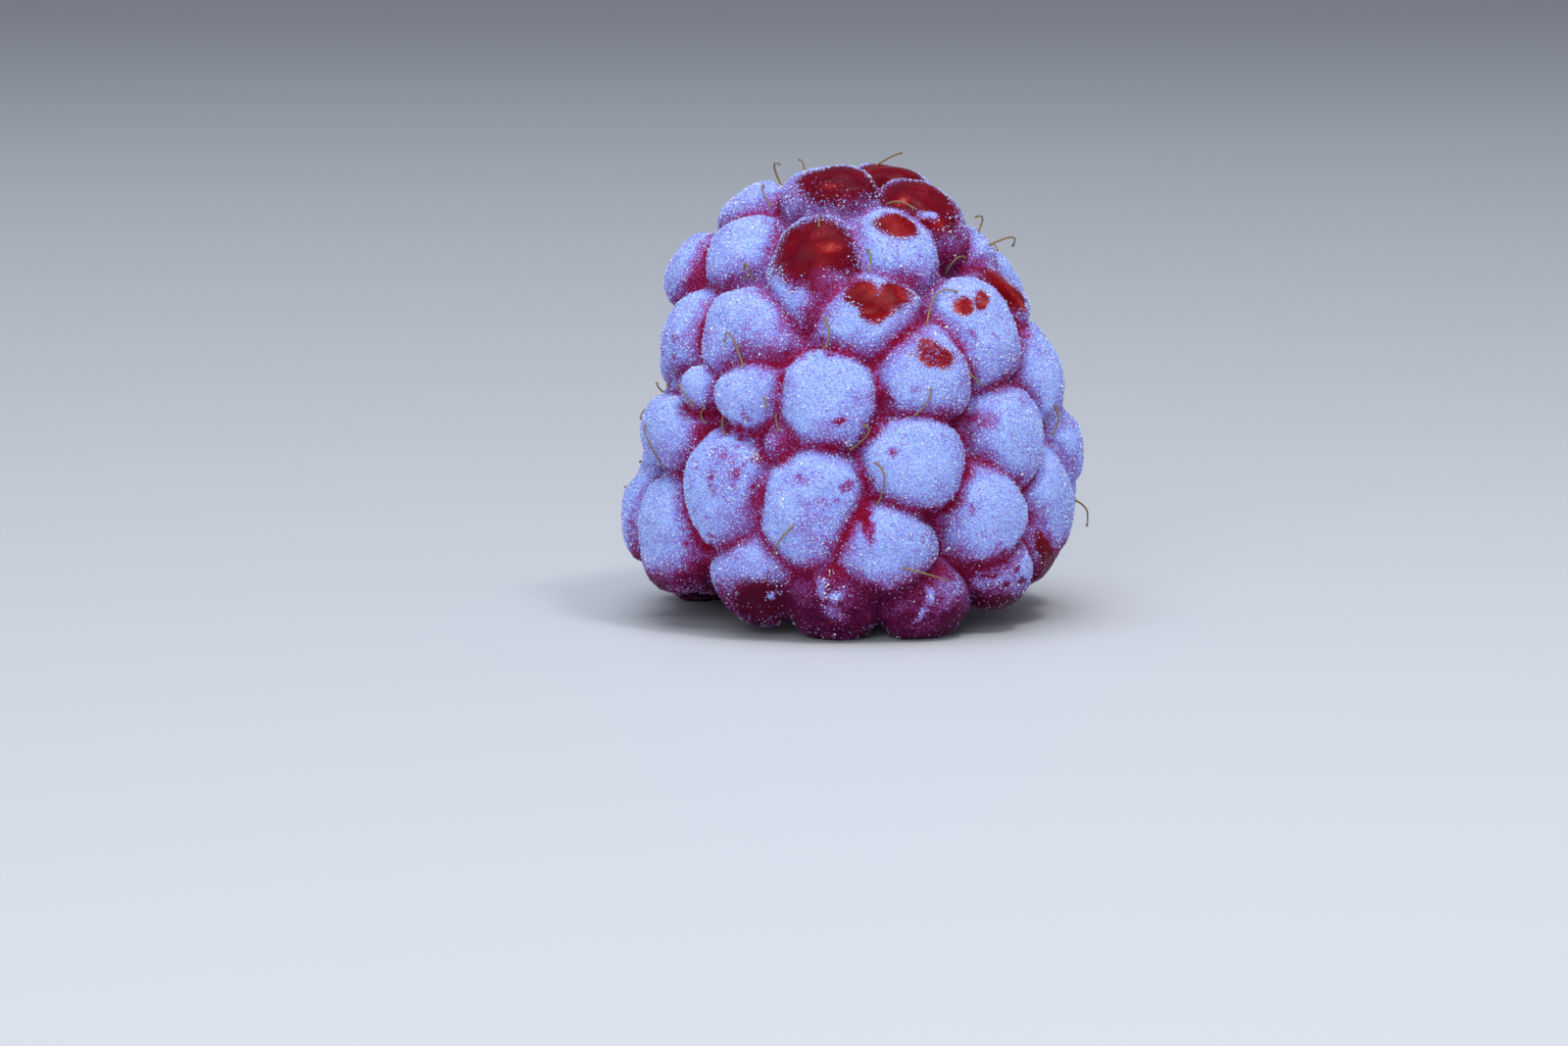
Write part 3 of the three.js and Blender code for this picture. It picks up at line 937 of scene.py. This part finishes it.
shade_side = smooth_step(*SHADE_SIDE_FADE, SHADE_SIDE_RIGHT * own[:, 0] - SHADE_SIDE_UP * own[:, 1])
band = BAND + SHADE_SIDE_BAND * shade_side + BAND_LUMP * lumps(points, 1.6, 6)
flank = edge / np.maximum(band, NARROWEST_BAND)
from_groove = 0.5 * smooth_step(*GROOVE_FADE, flank) + 0.5 * smooth_step(*FLANK_FADE, flank)
crown_rise = smooth_step(*CROWN_FADE, own[:, 2])
facing_down = smooth_step(*DOWN_FADE, skin_normals[:, 2])
rime = np.clip(GROOVE_RIME + FLANK_RIME * from_groove, 0, 1)
rime = rime * (LOW_RIME + CROWN_RIME * crown_rise)
# painted shade: rime thins on the side turned from the light, less on the crown
rime *= 1 - SHADE_SIDE_LOSS * shade_side * (1 - CROWN_SHADE_RELIEF * crown_rise)
rime *= 1 - DOWN_LOSS * facing_down * smooth_step(*LOW_FADE, points[:, 2])
rime *= cover[owner]
print("mean rime on crowns", round(float(rime[crown_rise > 0.9].mean()), 2))

# %% Uneven rime, scuffs, worn spots, veils and painted rim light
BROAD_UNEVEN, FINE_UNEVEN = 0.26, 0.14
SCUFF_EDGE, SCUFF_PLACES, SCUFF_LOSS = (0.2, 0.45), (0.12, 0.42), 0.45
TIP_VEIL, TIP_VEIL_GAPS = (12.5, 17.0), (-0.5, 0.2)      # heights, noise
RIM_LIGHT_SIDES, RIM_LIGHT_START, RIM_LIGHT_STRENGTH = (7.2, 9.4), (2.0, 5.0), 1.2
VEIL_AND_RIM_LIGHT_RIME, VEIL_AND_RIM_LIGHT_LUMP = 0.5, 0.15
SMEAR_RIME = 0.9
HOLLOW_RIME, HOLLOW_LUMP = 0.22, 0.16

height = points[:, 2]
rime += BROAD_UNEVEN * lumps(points, 1.5, 8) + FINE_UNEVEN * lumps(points, 0.6, 9)
scuffed = smooth_step(*SCUFF_EDGE, lumps(points, 0.38, 12))
scuffed = scuffed * smooth_step(*SCUFF_PLACES, lumps(points, 2.0, 13))
rime -= SCUFF_LOSS * scuffed + worn
tip_veil = smooth_step(*TIP_VEIL, height) * smooth_step(*TIP_VEIL_GAPS, lumps(points, 3.0, 5))
# painted rim light: more rime towards the left and right edges as seen from the front, which
# lightens them
painted_rim_light = RIM_LIGHT_STRENGTH * smooth_step(*RIM_LIGHT_SIDES, np.abs(points[:, 0]))
painted_rim_light = painted_rim_light * smooth_step(*RIM_LIGHT_START, height)
veil_and_rim_light = np.maximum(tip_veil, painted_rim_light) * (VEIL_AND_RIM_LIGHT_RIME + VEIL_AND_RIM_LIGHT_LUMP * lumps(points, 0.6, 15))
rime = np.maximum(rime, veil_and_rim_light)
# smears show as rime: partly ice, partly painted highlights
rime = np.maximum(rime, SMEAR_RIME * smeared)
in_hollow = HOLLOW_RIME + HOLLOW_LUMP * lumps(points, 0.9, 16)
rime = np.clip(rime * outside + in_hollow * inside, 0, 1)
print("rime covers", round(100 * float((rime > 0.5).mean())), "% of the points thickly")

# %% Write what the material reads
ICE_FILM = 0.3                   # how bare a filmed patch gets at most
LINING_SHARE = 0.2               # no patch shows where the lining's share is larger
FLOOR_SHADE_FADE = (4.2, 1.6)           # painted shade: the skin darkens towards the floor between these heights
# how much the painted amber glints lighten the skin
AMBER_GLINT_STRENGTH = 1.2


def write_attribute(mesh, name, values):
    layer = mesh.attributes.get(name) or mesh.attributes.new(name, "FLOAT", "POINT")
    layer.data.foreach_set("value", np.asarray(values, dtype=np.float32))


bare = np.where(ripeness < 0, np.minimum(bare, ICE_FILM), bare)
bare = np.where(inside > LINING_SHARE, NO_PATCH, bare)
# painted shade: darker red towards the floor, on top of the ripe skin's own darkness; the painted
# amber glints lower the value
wine = np.maximum(smooth_step(*FLOOR_SHADE_FADE, height), ripeness)
wine = wine + np.minimum(ripeness, 0) - AMBER_GLINT_STRENGTH * amber_glint
for name, values in (("rime", rime), ("bare", bare), ("wine", wine)):
    write_attribute(berry.data, name, values)
    print(name, "from", round(float(values.min()), 2), "to", round(float(values.max()), 2))

# %% [markdown]
# ## The skin's finish
# Under the rime the skin is a deep wine red.  Thin rime over it looks lilac, and thick
# rime looks pale blue-violet, a blue that is painted cool sky light on white ice.  So one
# ramp from crimson through lilac to pale blue does most of the work, with grain noise that
# lets specks of skin through.  Bare patches mix in glossy red with its own darker and
# lighter clouds, whose lightest orange flecks are painted warm glints.  Near the floor
# both are darkened as painted shade.

# %% Helpers that read the skin
NOISE_ROUGHNESS = 0.6
NOISE_SHIFT = (1.0, 0.7, 0.3)    # each seed looks at another part of the noise


def attribute_value(tree, name):
    return add_node(tree, "ShaderNodeAttribute", attribute_name=name).outputs["Fac"]


def grain(tree, size, detail=2.0, seed=0.0):
    """Noise whose lumps have this size in millimetres, in object space."""
    place = add_node(tree, "ShaderNodeTexCoord").outputs["Object"]
    moved = add_node(tree, "ShaderNodeMapping", {
        "Vector": place, "Location": [seed * shift for shift in NOISE_SHIFT]})
    found = add_node(tree, "ShaderNodeTexNoise", {
        "Vector": moved.outputs["Vector"], "Scale": 1 / (size * MM), "Detail": detail,
        "Roughness": NOISE_ROUGHNESS})
    return found.outputs["Fac"]


def frayed(tree, value, texture, strength):
    """A value with noise added round its middle, so that what it draws gets a rough edge."""
    around_zero = calculate(tree, "SUBTRACT", texture, 0.5)
    return calculate(tree, "MULTIPLY_ADD", around_zero, strength, value)


def rescaled(tree, value, limits):
    node = add_node(tree, "ShaderNodeMapRange", {"Value": value, **limits})
    return node.outputs["Result"]


# %% Helpers that colour the skin
def ramp(tree, value, stops):
    node = add_node(tree, "ShaderNodeValToRGB", {"Fac": value})
    elements = node.color_ramp.elements
    while len(elements) < len(stops):
        elements.new(0.5)
    for element, (position, colour) in zip(elements, stops):
        element.position = position
        element.color = (*colour, 1)
    return node.outputs["Color"]


def blend_colour(tree, share, first, second):
    node = add_node(tree, "ShaderNodeMix", data_type="RGBA")
    for key, value in (("Factor", share), ("A", first), ("B", second)):
        socket = next(s for s in node.inputs if s.name == key and s.enabled)
        if isinstance(value, bpy.types.NodeSocket):
            tree.links.new(value, socket)
        else:
            socket.default_value = value
    return next(s for s in node.outputs if s.enabled)


# %% The colour of rimed skin
# the blues are painted cool sky light on white ice; crimson and lilac are the skin under thin rime
RIME_COLOURS = [
    (0.0, (0.23, 0.002, 0.020)),
    (0.16, (0.24, 0.010, 0.065)),
    (0.34, (0.27, 0.05, 0.22)),
    (0.54, (0.28, 0.14, 0.46)),
    (0.78, (0.28, 0.30, 0.78)),
    (1.0, (0.40, 0.54, 1.0)),
]
RIMED_WINE_SHADE = (0.05, 0.003, 0.028, 1)
RIME_FRAY = {"fine": 1.5, "mottle": 0.5}
WINE_SHADE_GAIN, WINE_SHADE_START = -1.5, 0.9        # the dark red of ripe skin and of painted shade shows less and less as rime thickens


def rimed_colour(tree, rime_here, wine_shade_glints_here, fine, mottle):
    """From crimson through lilac to pale blue; thin rime stays dark over ripe skin and over the
    painted shade near the floor.
    """
    thickness = frayed(tree, rime_here, fine, RIME_FRAY["fine"])
    thickness = frayed(tree, thickness, mottle, RIME_FRAY["mottle"])
    frosted = ramp(tree, thickness, RIME_COLOURS)
    thinness = calculate(tree, "MULTIPLY_ADD", thickness, WINE_SHADE_GAIN, WINE_SHADE_START, clamp=True)
    wine_shade_share = calculate(tree, "MULTIPLY", wine_shade_glints_here, thinness)
    return blend_colour(tree, wine_shade_share, frosted, RIMED_WINE_SHADE)


# %% The colour of bare skin
# the last, orange stop is painted warm glints, reached by the lightest clouds and by the amber
# glints
BARE_COLOURS = [
    (0.3, (0.12, 0.002, 0.006)),
    (0.5, (0.19, 0.003, 0.007)),
    (0.66, (0.30, 0.014, 0.020)),
    (0.82, (0.50, 0.11, 0.075)),
]
# dark red for ripe skin and for the painted shade near the floor
BARE_WINE_SHADE = (0.05, 0.003, 0.022, 1)
BARE_WINE_SHADE_SHARE = 0.75
CLOUD_NOISE = (1.3, 4.0, 9.0)            # size in mm, detail, seed
CLOUD_FRAY = 0.6
RIPE_SHADE_DARKENING = -0.2


def bare_colour(tree, wine_shade_glints_here, fine):
    """Clouds of darker and lighter red, the lightest ones orange painted glints; ripe skin and
    painted shade are darker, the painted warm glints lighter.
    """
    cloud = frayed(tree, grain(tree, *CLOUD_NOISE), fine, CLOUD_FRAY)
    cloud = calculate(tree, "MULTIPLY_ADD", wine_shade_glints_here, RIPE_SHADE_DARKENING, cloud)
    red = ramp(tree, cloud, BARE_COLOURS)
    wine_shade_share = calculate(tree, "MULTIPLY", wine_shade_glints_here, BARE_WINE_SHADE_SHARE)
    return blend_colour(tree, wine_shade_share, red, BARE_WINE_SHADE)


# %% The skin material
FINE_NOISE = (0.075, 2.0)                # size in mm, detail
MOTTLE_NOISE = (0.9, 3.0, 4.0)           # size in mm, detail, seed
EDGE_FRAY = {"fine": 1.5, "mottle": 0.9}
BARE_EDGE = {"From Min": -0.02, "From Max": 0.14}
RIME_ROUGHNESS = {"From Min": 0.1, "From Max": 0.6, "To Min": 0.38, "To Max": 0.8}
BARE_ROUGHNESS = 0.26
GRAIN_BUMP, GRAIN_RELIEF = 0.6, 0.06 * MM
# the same all over, so these are set on the shader's own sockets
SKIN_CONSTANTS = {
    "Subsurface Weight": 0.12,
    "Subsurface Radius": (1.0, 0.35, 0.3),
    "Subsurface Scale": 0.6 * MM,
    "IOR": 1.2,
    "Specular IOR Level": 0.15,
}


def finish_skin(material):
    material.use_nodes = True
    tree = material.node_tree
    shader = tree.nodes["Principled BSDF"]
    rime_here = attribute_value(tree, "rime")
    wine_shade_glints_here = attribute_value(tree, "wine")
    fine = grain(tree, *FINE_NOISE)
    mottle = grain(tree, *MOTTLE_NOISE)
    frosted = rimed_colour(tree, rime_here, wine_shade_glints_here, fine, mottle)
    red = bare_colour(tree, wine_shade_glints_here, fine)
    ragged = frayed(tree, attribute_value(tree, "bare"), fine, EDGE_FRAY["fine"])
    ragged = frayed(tree, ragged, mottle, EDGE_FRAY["mottle"])
    bare_share = rescaled(tree, ragged, BARE_EDGE)
    tree.links.new(blend_colour(tree, bare_share, frosted, red), shader.inputs["Base Color"])
    rough = add_node(tree, "ShaderNodeMix", {
        "Factor": bare_share, "A": rescaled(tree, rime_here, RIME_ROUGHNESS), "B": BARE_ROUGHNESS})
    tree.links.new(rough.outputs["Result"], shader.inputs["Roughness"])
    rimed_share = calculate(tree, "SUBTRACT", 1.0, bare_share, clamp=True)
    bump = add_node(tree, "ShaderNodeBump", {
        "Strength": GRAIN_BUMP, "Distance": GRAIN_RELIEF,
        "Height": calculate(tree, "MULTIPLY", fine, rimed_share)})
    tree.links.new(bump.outputs["Normal"], shader.inputs["Normal"])
    for socket, value in SKIN_CONSTANTS.items():
        shader.inputs[socket].default_value = value


berry_skin = bpy.data.materials["berry_skin"]
finish_skin(berry_skin)
print("skin finished with", len(berry_skin.node_tree.nodes), "nodes")

# %% Give the berry its finish and its place in the frame
berry.data.materials.clear()
berry.data.materials.append(berry_skin)
berry.name = "raspberry_skin"
berry.data.name = "raspberry_skin"
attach(berry, "root")
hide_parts("raspberry")
print(berry.name, "replaces the measured solid's surface")

# %% [markdown]
# ## The rime
# Rime is a fur of ice grains, most of them finer than a tenth of a millimetre.  A tree
# strews small four-sided grains over the skin: dense on the crowns, sparse on the flanks,
# and nearly none in the grooves and on bare skin.  Every piece has one plain colour, and
# four pieces of different blues and lilacs mix to the mottled look that real rime has.
# Their blue is painted cool light on white ice, the darker blue piece is painted shade
# among the grains, and the glitter also crowds on painted highlights.

# %% Where the grains lie
RIMED_FADE = (0.2, 0.75)         # rime values between which the grains grow dense
FREE_FADE = (0.32, -0.05)        # bare values between which they come back
LOWER_FADE = (0.25, -0.7)        # the lower part of each drupelet catches loose grains
SPARSE, LOWER_SPARSE = 0.35, 1.3
LOWEST_GRAIN = 0.15

low_on_own = smooth_step(*LOWER_FADE, own[:, 1])


def grain_share(thick, thin):
    """Chance of a grain at each point of the skin, on rimed skin and elsewhere."""
    keep = smooth_step(*RIMED_FADE, rime)
    free = smooth_step(*FREE_FADE, bare)
    loose = SPARSE * free + LOWER_SPARSE * low_on_own ** 2
    share = np.clip(thick * keep * free + thin * loose, 0, 1)
    return share * outside * (height > LOWEST_GRAIN)


print("grains keep to", round(100 * float((grain_share(1, 0) > 0.5).mean())), "% of the points")

# %% The tree that strews the grains
GRAIN_RADIUS = 0.62              # of a cone one unit high
GRAIN_TURN = (6.28, 3.14, 6.28)  # radians
GRAIN_SCALE = (0.55, 1.3)        # smallest and largest, times the size


def rime_tree():
    tree, source, result = new_tree("strewn_grains", {
        "Share": "NodeSocketString", "Density": "NodeSocketFloat", "Size": "NodeSocketFloat",
        "Seed": "NodeSocketInt", "Ice": "NodeSocketMaterial"})
    seed = source.outputs["Seed"]
    share = named_attribute(tree, source.outputs["Share"])
    density = calculate(tree, "MULTIPLY", share, source.outputs["Density"])
    strewn = add_node(tree, "GeometryNodeDistributePointsOnFaces", {
        "Mesh": source.outputs["Geometry"], "Density": density, "Seed": seed},
        distribute_method="RANDOM")
    shape = add_node(tree, "GeometryNodeMeshCone", {
        "Vertices": 3, "Radius Top": 0.0, "Radius Bottom": GRAIN_RADIUS, "Depth": 1.0})
    turn = add_node(tree, "FunctionNodeRandomValue", {
        "Min": (0, 0, 0), "Max": GRAIN_TURN, "Seed": seed}, data_type="FLOAT_VECTOR")
    scale = add_node(tree, "FunctionNodeRandomValue", {
        2: GRAIN_SCALE[0], 3: GRAIN_SCALE[1], "Seed": seed}, data_type="FLOAT")
    size = calculate(tree, "MULTIPLY", scale.outputs[1], source.outputs["Size"])
    grains = add_node(tree, "GeometryNodeInstanceOnPoints", {
        "Points": strewn.outputs["Points"], "Instance": shape.outputs["Mesh"],
        "Rotation": turn.outputs["Value"], "Scale": size})
    end_tree(tree, result, grains.outputs["Instances"], source.outputs["Ice"])
    return tree


# %% Strew the grains
# name, colour, roughness, chance on rimed skin, chance elsewhere, grains per mm2, size in mm
# the blues are painted cool light on white ice; the darker blue grains are painted shade among the
# pale ones
GRAIN_KINDS = [
    ("rime_pale", (0.66, 0.80, 1.0), 0.6, 1.0, 0.01, 56, 0.072),
    ("rime_blue", (0.34, 0.46, 1.0), 0.6, 0.9, 0.03, 56, 0.074),
    ("rime_lilac", (0.42, 0.20, 0.58), 0.6, 0.7, 0.25, 56, 0.064),
    ("rime_glitter", (0.9, 0.95, 1.0), 0.15, 1.0, 0.1, 2.0, 0.10),
]
FIRST_GRAIN_SEED = 11
GLINT_SHARE = 20                 # glitter grains crowd this much on a painted highlight

strew = rime_tree()
for number, (name, colour, roughness, thick, thin, count, size) in enumerate(GRAIN_KINDS):
    share = grain_share(thick, thin)
    # painted highlights: glitter grains crowd on the glint spots
    if name == "rime_glitter":
        share += GLINT_SHARE * glinting * outside
    write_attribute(berry.data, "share", share)
    mesh = run_tree(berry, strew, {
        "Share": "share", "Density": count / MM ** 2, "Size": size * MM,
        "Seed": FIRST_GRAIN_SEED + number, "Ice": simple_material(name, colour, roughness)})
    grains = mesh_object(name, mesh)
    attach(grains, "root")
    print(name, len(mesh.polygons), "faces")

# %% [markdown]
# ## The dried styles
# Every drupelet was a flower's ovary, and its dried style stays as a bent golden hair,
# about two millimetres long, mostly rooted in the grooves.  Those of the front are
# placed one by one, and a rule with a fixed seed places the rest.

# %% The styles of the front
# three places each, as (across, height): the root, the bend and the tip
FRONT_STYLES = [
    [(-4.9, 15.4), (-4.6, 16.2), (-4.3, 15.5)],
    [(-4.9, 12.0), (-5.2, 13.3), (-5.5, 13.0)],
    [(-4.0, 10.8), (-3.8, 10.7), (-3.7, 10.3)],
    [(-3.4, 10.1), (-3.3, 9.8), (-3.2, 9.3)],
    [(-1.3, 14.4), (-1.0, 13.4), (-1.4, 12.7)],
    [(3.3, 11.6), (3.3, 10.8), (2.7, 10.0)],
    [(0.1, 9.8), (0.7, 9.3), (-0.1, 8.5)],
    [(0.6, 8.1), (1.3, 7.6), (1.1, 6.2)],
    [(-2.2, 5.7), (-3.0, 4.8), (-3.4, 4.0)],
    [(1.8, 3.5), (3.0, 3.3), (4.1, 2.8)],
    [(3.4, 13.9), (3.6, 14.9), (4.6, 15.1)],
    [(5.0, 12.0), (5.3, 11.4), (5.7, 11.0)],
    [(9.0, 10.3), (9.1, 9.4), (8.9, 8.5)],
    [(-1.4, 18.7), (-1.4, 18.3), (-1.4, 17.9)],
    [(-3.9, 19.7), (-3.8, 19.2), (-3.5, 18.5)],
    [(1.6, 19.1), (2.1, 18.9), (2.7, 18.6)],
    [(0.6, 17.3), (0.8, 16.7), (0.7, 16.1)],
    [(4.4, 16.0), (4.6, 16.4), (5.0, 16.4)],
    [(6.2, 17.0), (6.9, 17.0), (7.3, 16.6)],
    [(5.8, 17.4), (5.8, 17.9), (5.6, 18.2)],
    [(0.8, 20.4), (1.7, 20.5), (2.3, 20.8)],
    [(-2.2, 20.2), (-2.1, 20.5), (-2.3, 20.7)],
    [(-3.2, 19.7), (-3.3, 20.1), (-3.1, 20.4)],
    [(-9.4, 9.0), (-8.8, 8.7), (-8.4, 7.3)],
    [(-7.7, 10.5), (-7.4, 11.0), (-6.9, 10.1)],
    [(-6.7, 9.4), (-6.6, 9.7), (-6.4, 10.0)],
    [(-5.8, 10.0), (-5.6, 9.4), (-5.5, 9.0)],
    [(10.3, 5.2), (10.65, 4.6), (10.7, 3.8)],
]
print(len(FRONT_STYLES), "styles to place on the front")

# %% Lay the styles of the front on the skin
LOOK_DEPTHS = (-12, 1, 0.04)     # from the front inwards, in steps
STYLE_STEPS = 12
STYLE_REACH = 0.45               # how far a style may stand out of the berry's box
STYLE_CLEARANCE = 0.1            # how far it stays above the surface
FRONT_ROOT_DEPTH = 0.3           # how deep a root sits in the skin
BEND_LIFT = 0.14                 # a bend stands out by this share of the style's length
TIP_LIFT = (0.05, 0.25)


def front_surface(across, height):
    """The first place of the berry's surface behind this distance across and height."""
    depths = np.arange(*LOOK_DEPTHS)
    line = np.stack([np.full(len(depths), across), depths, np.full(len(depths), height)], axis=1)
    level = against_cushions(line)[0]
    first = int(np.argmax(level <= 1)) if (level <= 1).any() else int(level.argmin())
    return line[first]


def bent_path(root, bend, tip):
    """A smooth bent line through three places that stays close to the berry's box."""
    share = np.linspace(0, 1, STYLE_STEPS)[:, None]
    knee = 2 * bend - (root + tip) / 2
    path = (1 - share) ** 2 * root + 2 * share * (1 - share) * knee + share ** 2 * tip
    low_end = lowest - [STYLE_REACH, STYLE_REACH, -STYLE_CLEARANCE]
    return np.clip(path, low_end, highest + STYLE_REACH)


style_draw = np.random.default_rng(5)
style_paths = []
for places in FRONT_STYLES:
    root, bend, tip = (front_surface(*place) for place in places)
    length = np.linalg.norm(bend - root) + np.linalg.norm(tip - bend)
    bend = bend + outwards(bend) * BEND_LIFT * length
    tip = tip + outwards(tip) * style_draw.uniform(*TIP_LIFT)
    root = root - outwards(root) * FRONT_ROOT_DEPTH
    style_paths.append(bent_path(root, bend, tip))
print(len(style_paths), "styles on the front")

# %% Roots of the other styles
SIDE_STYLES = 46
ROOT_SPACING = 1.3
ROOT_EDGE = 0.1                  # roots lie this close to the middle of a groove
ROOT_LEVEL = 0.93                # and not deep inside the cushions
ROOT_HEIGHTS = (1.5, 17)
ROOT_DEPTH = 1                   # only behind this depth, where the front ends

in_groove = (edge < ROOT_EDGE) & (nearest > ROOT_LEVEL) & (outside > 0.5)
in_reach = (points[:, 1] > ROOT_DEPTH) & (height > ROOT_HEIGHTS[0]) & (height < ROOT_HEIGHTS[1])
groove_points = np.flatnonzero(in_groove & in_reach)
roots = []
while len(roots) < SIDE_STYLES:
    place = shaped[style_draw.choice(groove_points)]
    if all(np.linalg.norm(place - other) > ROOT_SPACING for other in roots):
        roots.append(place)
print(len(roots), "roots among", len(groove_points), "points")

# %% The styles of the other sides
SIDE_LENGTH = (0.9, 2.1)
SIDE_BEND_LIFT, SIDE_TIP_LIFT = (0.6, 1.0), (0.6, 1.1)
SIDE_BEND_PLACE = 0.45           # share of the length where the bend lies
SIDE_SWAY = 0.7
SIDE_ROOT_DEPTH = 0.2

for root in roots:
    out = outwards(root)
    around = np.cross(out, [0, 0, 1])
    heading = style_draw.uniform(0, 2 * math.pi)
    lying = around * math.cos(heading) + np.cross(out, around) * math.sin(heading)
    length = style_draw.uniform(*SIDE_LENGTH)
    bend = root + out * style_draw.uniform(*SIDE_BEND_LIFT) + lying * length * SIDE_BEND_PLACE
    tip = root + out * style_draw.uniform(*SIDE_TIP_LIFT) + lying * length
    tip = tip + np.cross(out, lying) * style_draw.uniform(-SIDE_SWAY, SIDE_SWAY)
    style_paths.append(bent_path(root - out * SIDE_ROOT_DEPTH, bend, tip))
lengths = [np.linalg.norm(np.diff(path, axis=0), axis=1).sum() for path in style_paths]
print(len(style_paths), "styles", round(min(lengths), 1), "to", round(max(lengths), 1), "mm long")

# %% Lines for the hairs
HAIR_RADIUS = 0.052
HAIR_SIDES = 5
ROOT_WIDTH, HAIR_TAPER = 1.15, 0.55
STIGMA_WIDTH, STIGMA_FADE = 0.75, (0.9, 1.0)     # the tip ends in a small knob


def hair_lines():
    verts, edges, widths = [], [], []
    share = np.linspace(0, 1, STYLE_STEPS)
    shaft = ROOT_WIDTH - HAIR_TAPER * share
    for path in style_paths:
        start = len(verts)
        verts += [tuple(place * MM) for place in path]
        edges += [(start + i, start + i + 1) for i in range(STYLE_STEPS - 1)]
        widths += list(shaft + STIGMA_WIDTH * smooth_step(*STIGMA_FADE, share))
    mesh = bpy.data.meshes.new("style_lines")
    mesh.from_pydata(verts, edges, [])
    write_attribute(mesh, "width", widths)
    return mesh_object("style_lines", mesh)


lines = hair_lines()
print(len(lines.data.edges), "steps along all the lines")

# %% Draw the styles as hairs
HAIR_COLOUR = (0.27, 0.165, 0.07)
HAIR_ROUGHNESS = 0.55


def hair_tree():
    tree, source, result = new_tree("hairs_along_lines", {
        "Radius": "NodeSocketFloat", "Sides": "NodeSocketInt", "Hair": "NodeSocketMaterial"})
    lines = add_node(tree, "GeometryNodeMeshToCurve", {"Mesh": source.outputs["Geometry"]})
    round_profile = add_node(tree, "GeometryNodeCurvePrimitiveCircle", {
        "Resolution": source.outputs["Sides"], "Radius": source.outputs["Radius"]}, mode="RADIUS")
    tube = add_node(tree, "GeometryNodeCurveToMesh", {
        "Curve": lines.outputs["Curve"], "Profile Curve": round_profile.outputs["Curve"],
        "Scale": named_attribute(tree, "width"), "Fill Caps": True})
    end_tree(tree, result, tube.outputs["Mesh"], source.outputs["Hair"])
    return tree


mesh = run_tree(lines, hair_tree(), {
    "Radius": HAIR_RADIUS * MM, "Sides": HAIR_SIDES,
    "Hair": simple_material("dried_style", HAIR_COLOUR, HAIR_ROUGHNESS)})
remove(lines)
for polygon in mesh.polygons:
    polygon.use_smooth = True
styles = mesh_object("dried_styles", mesh)
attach(styles, "root")
print("styles:", len(mesh.polygons), "faces")
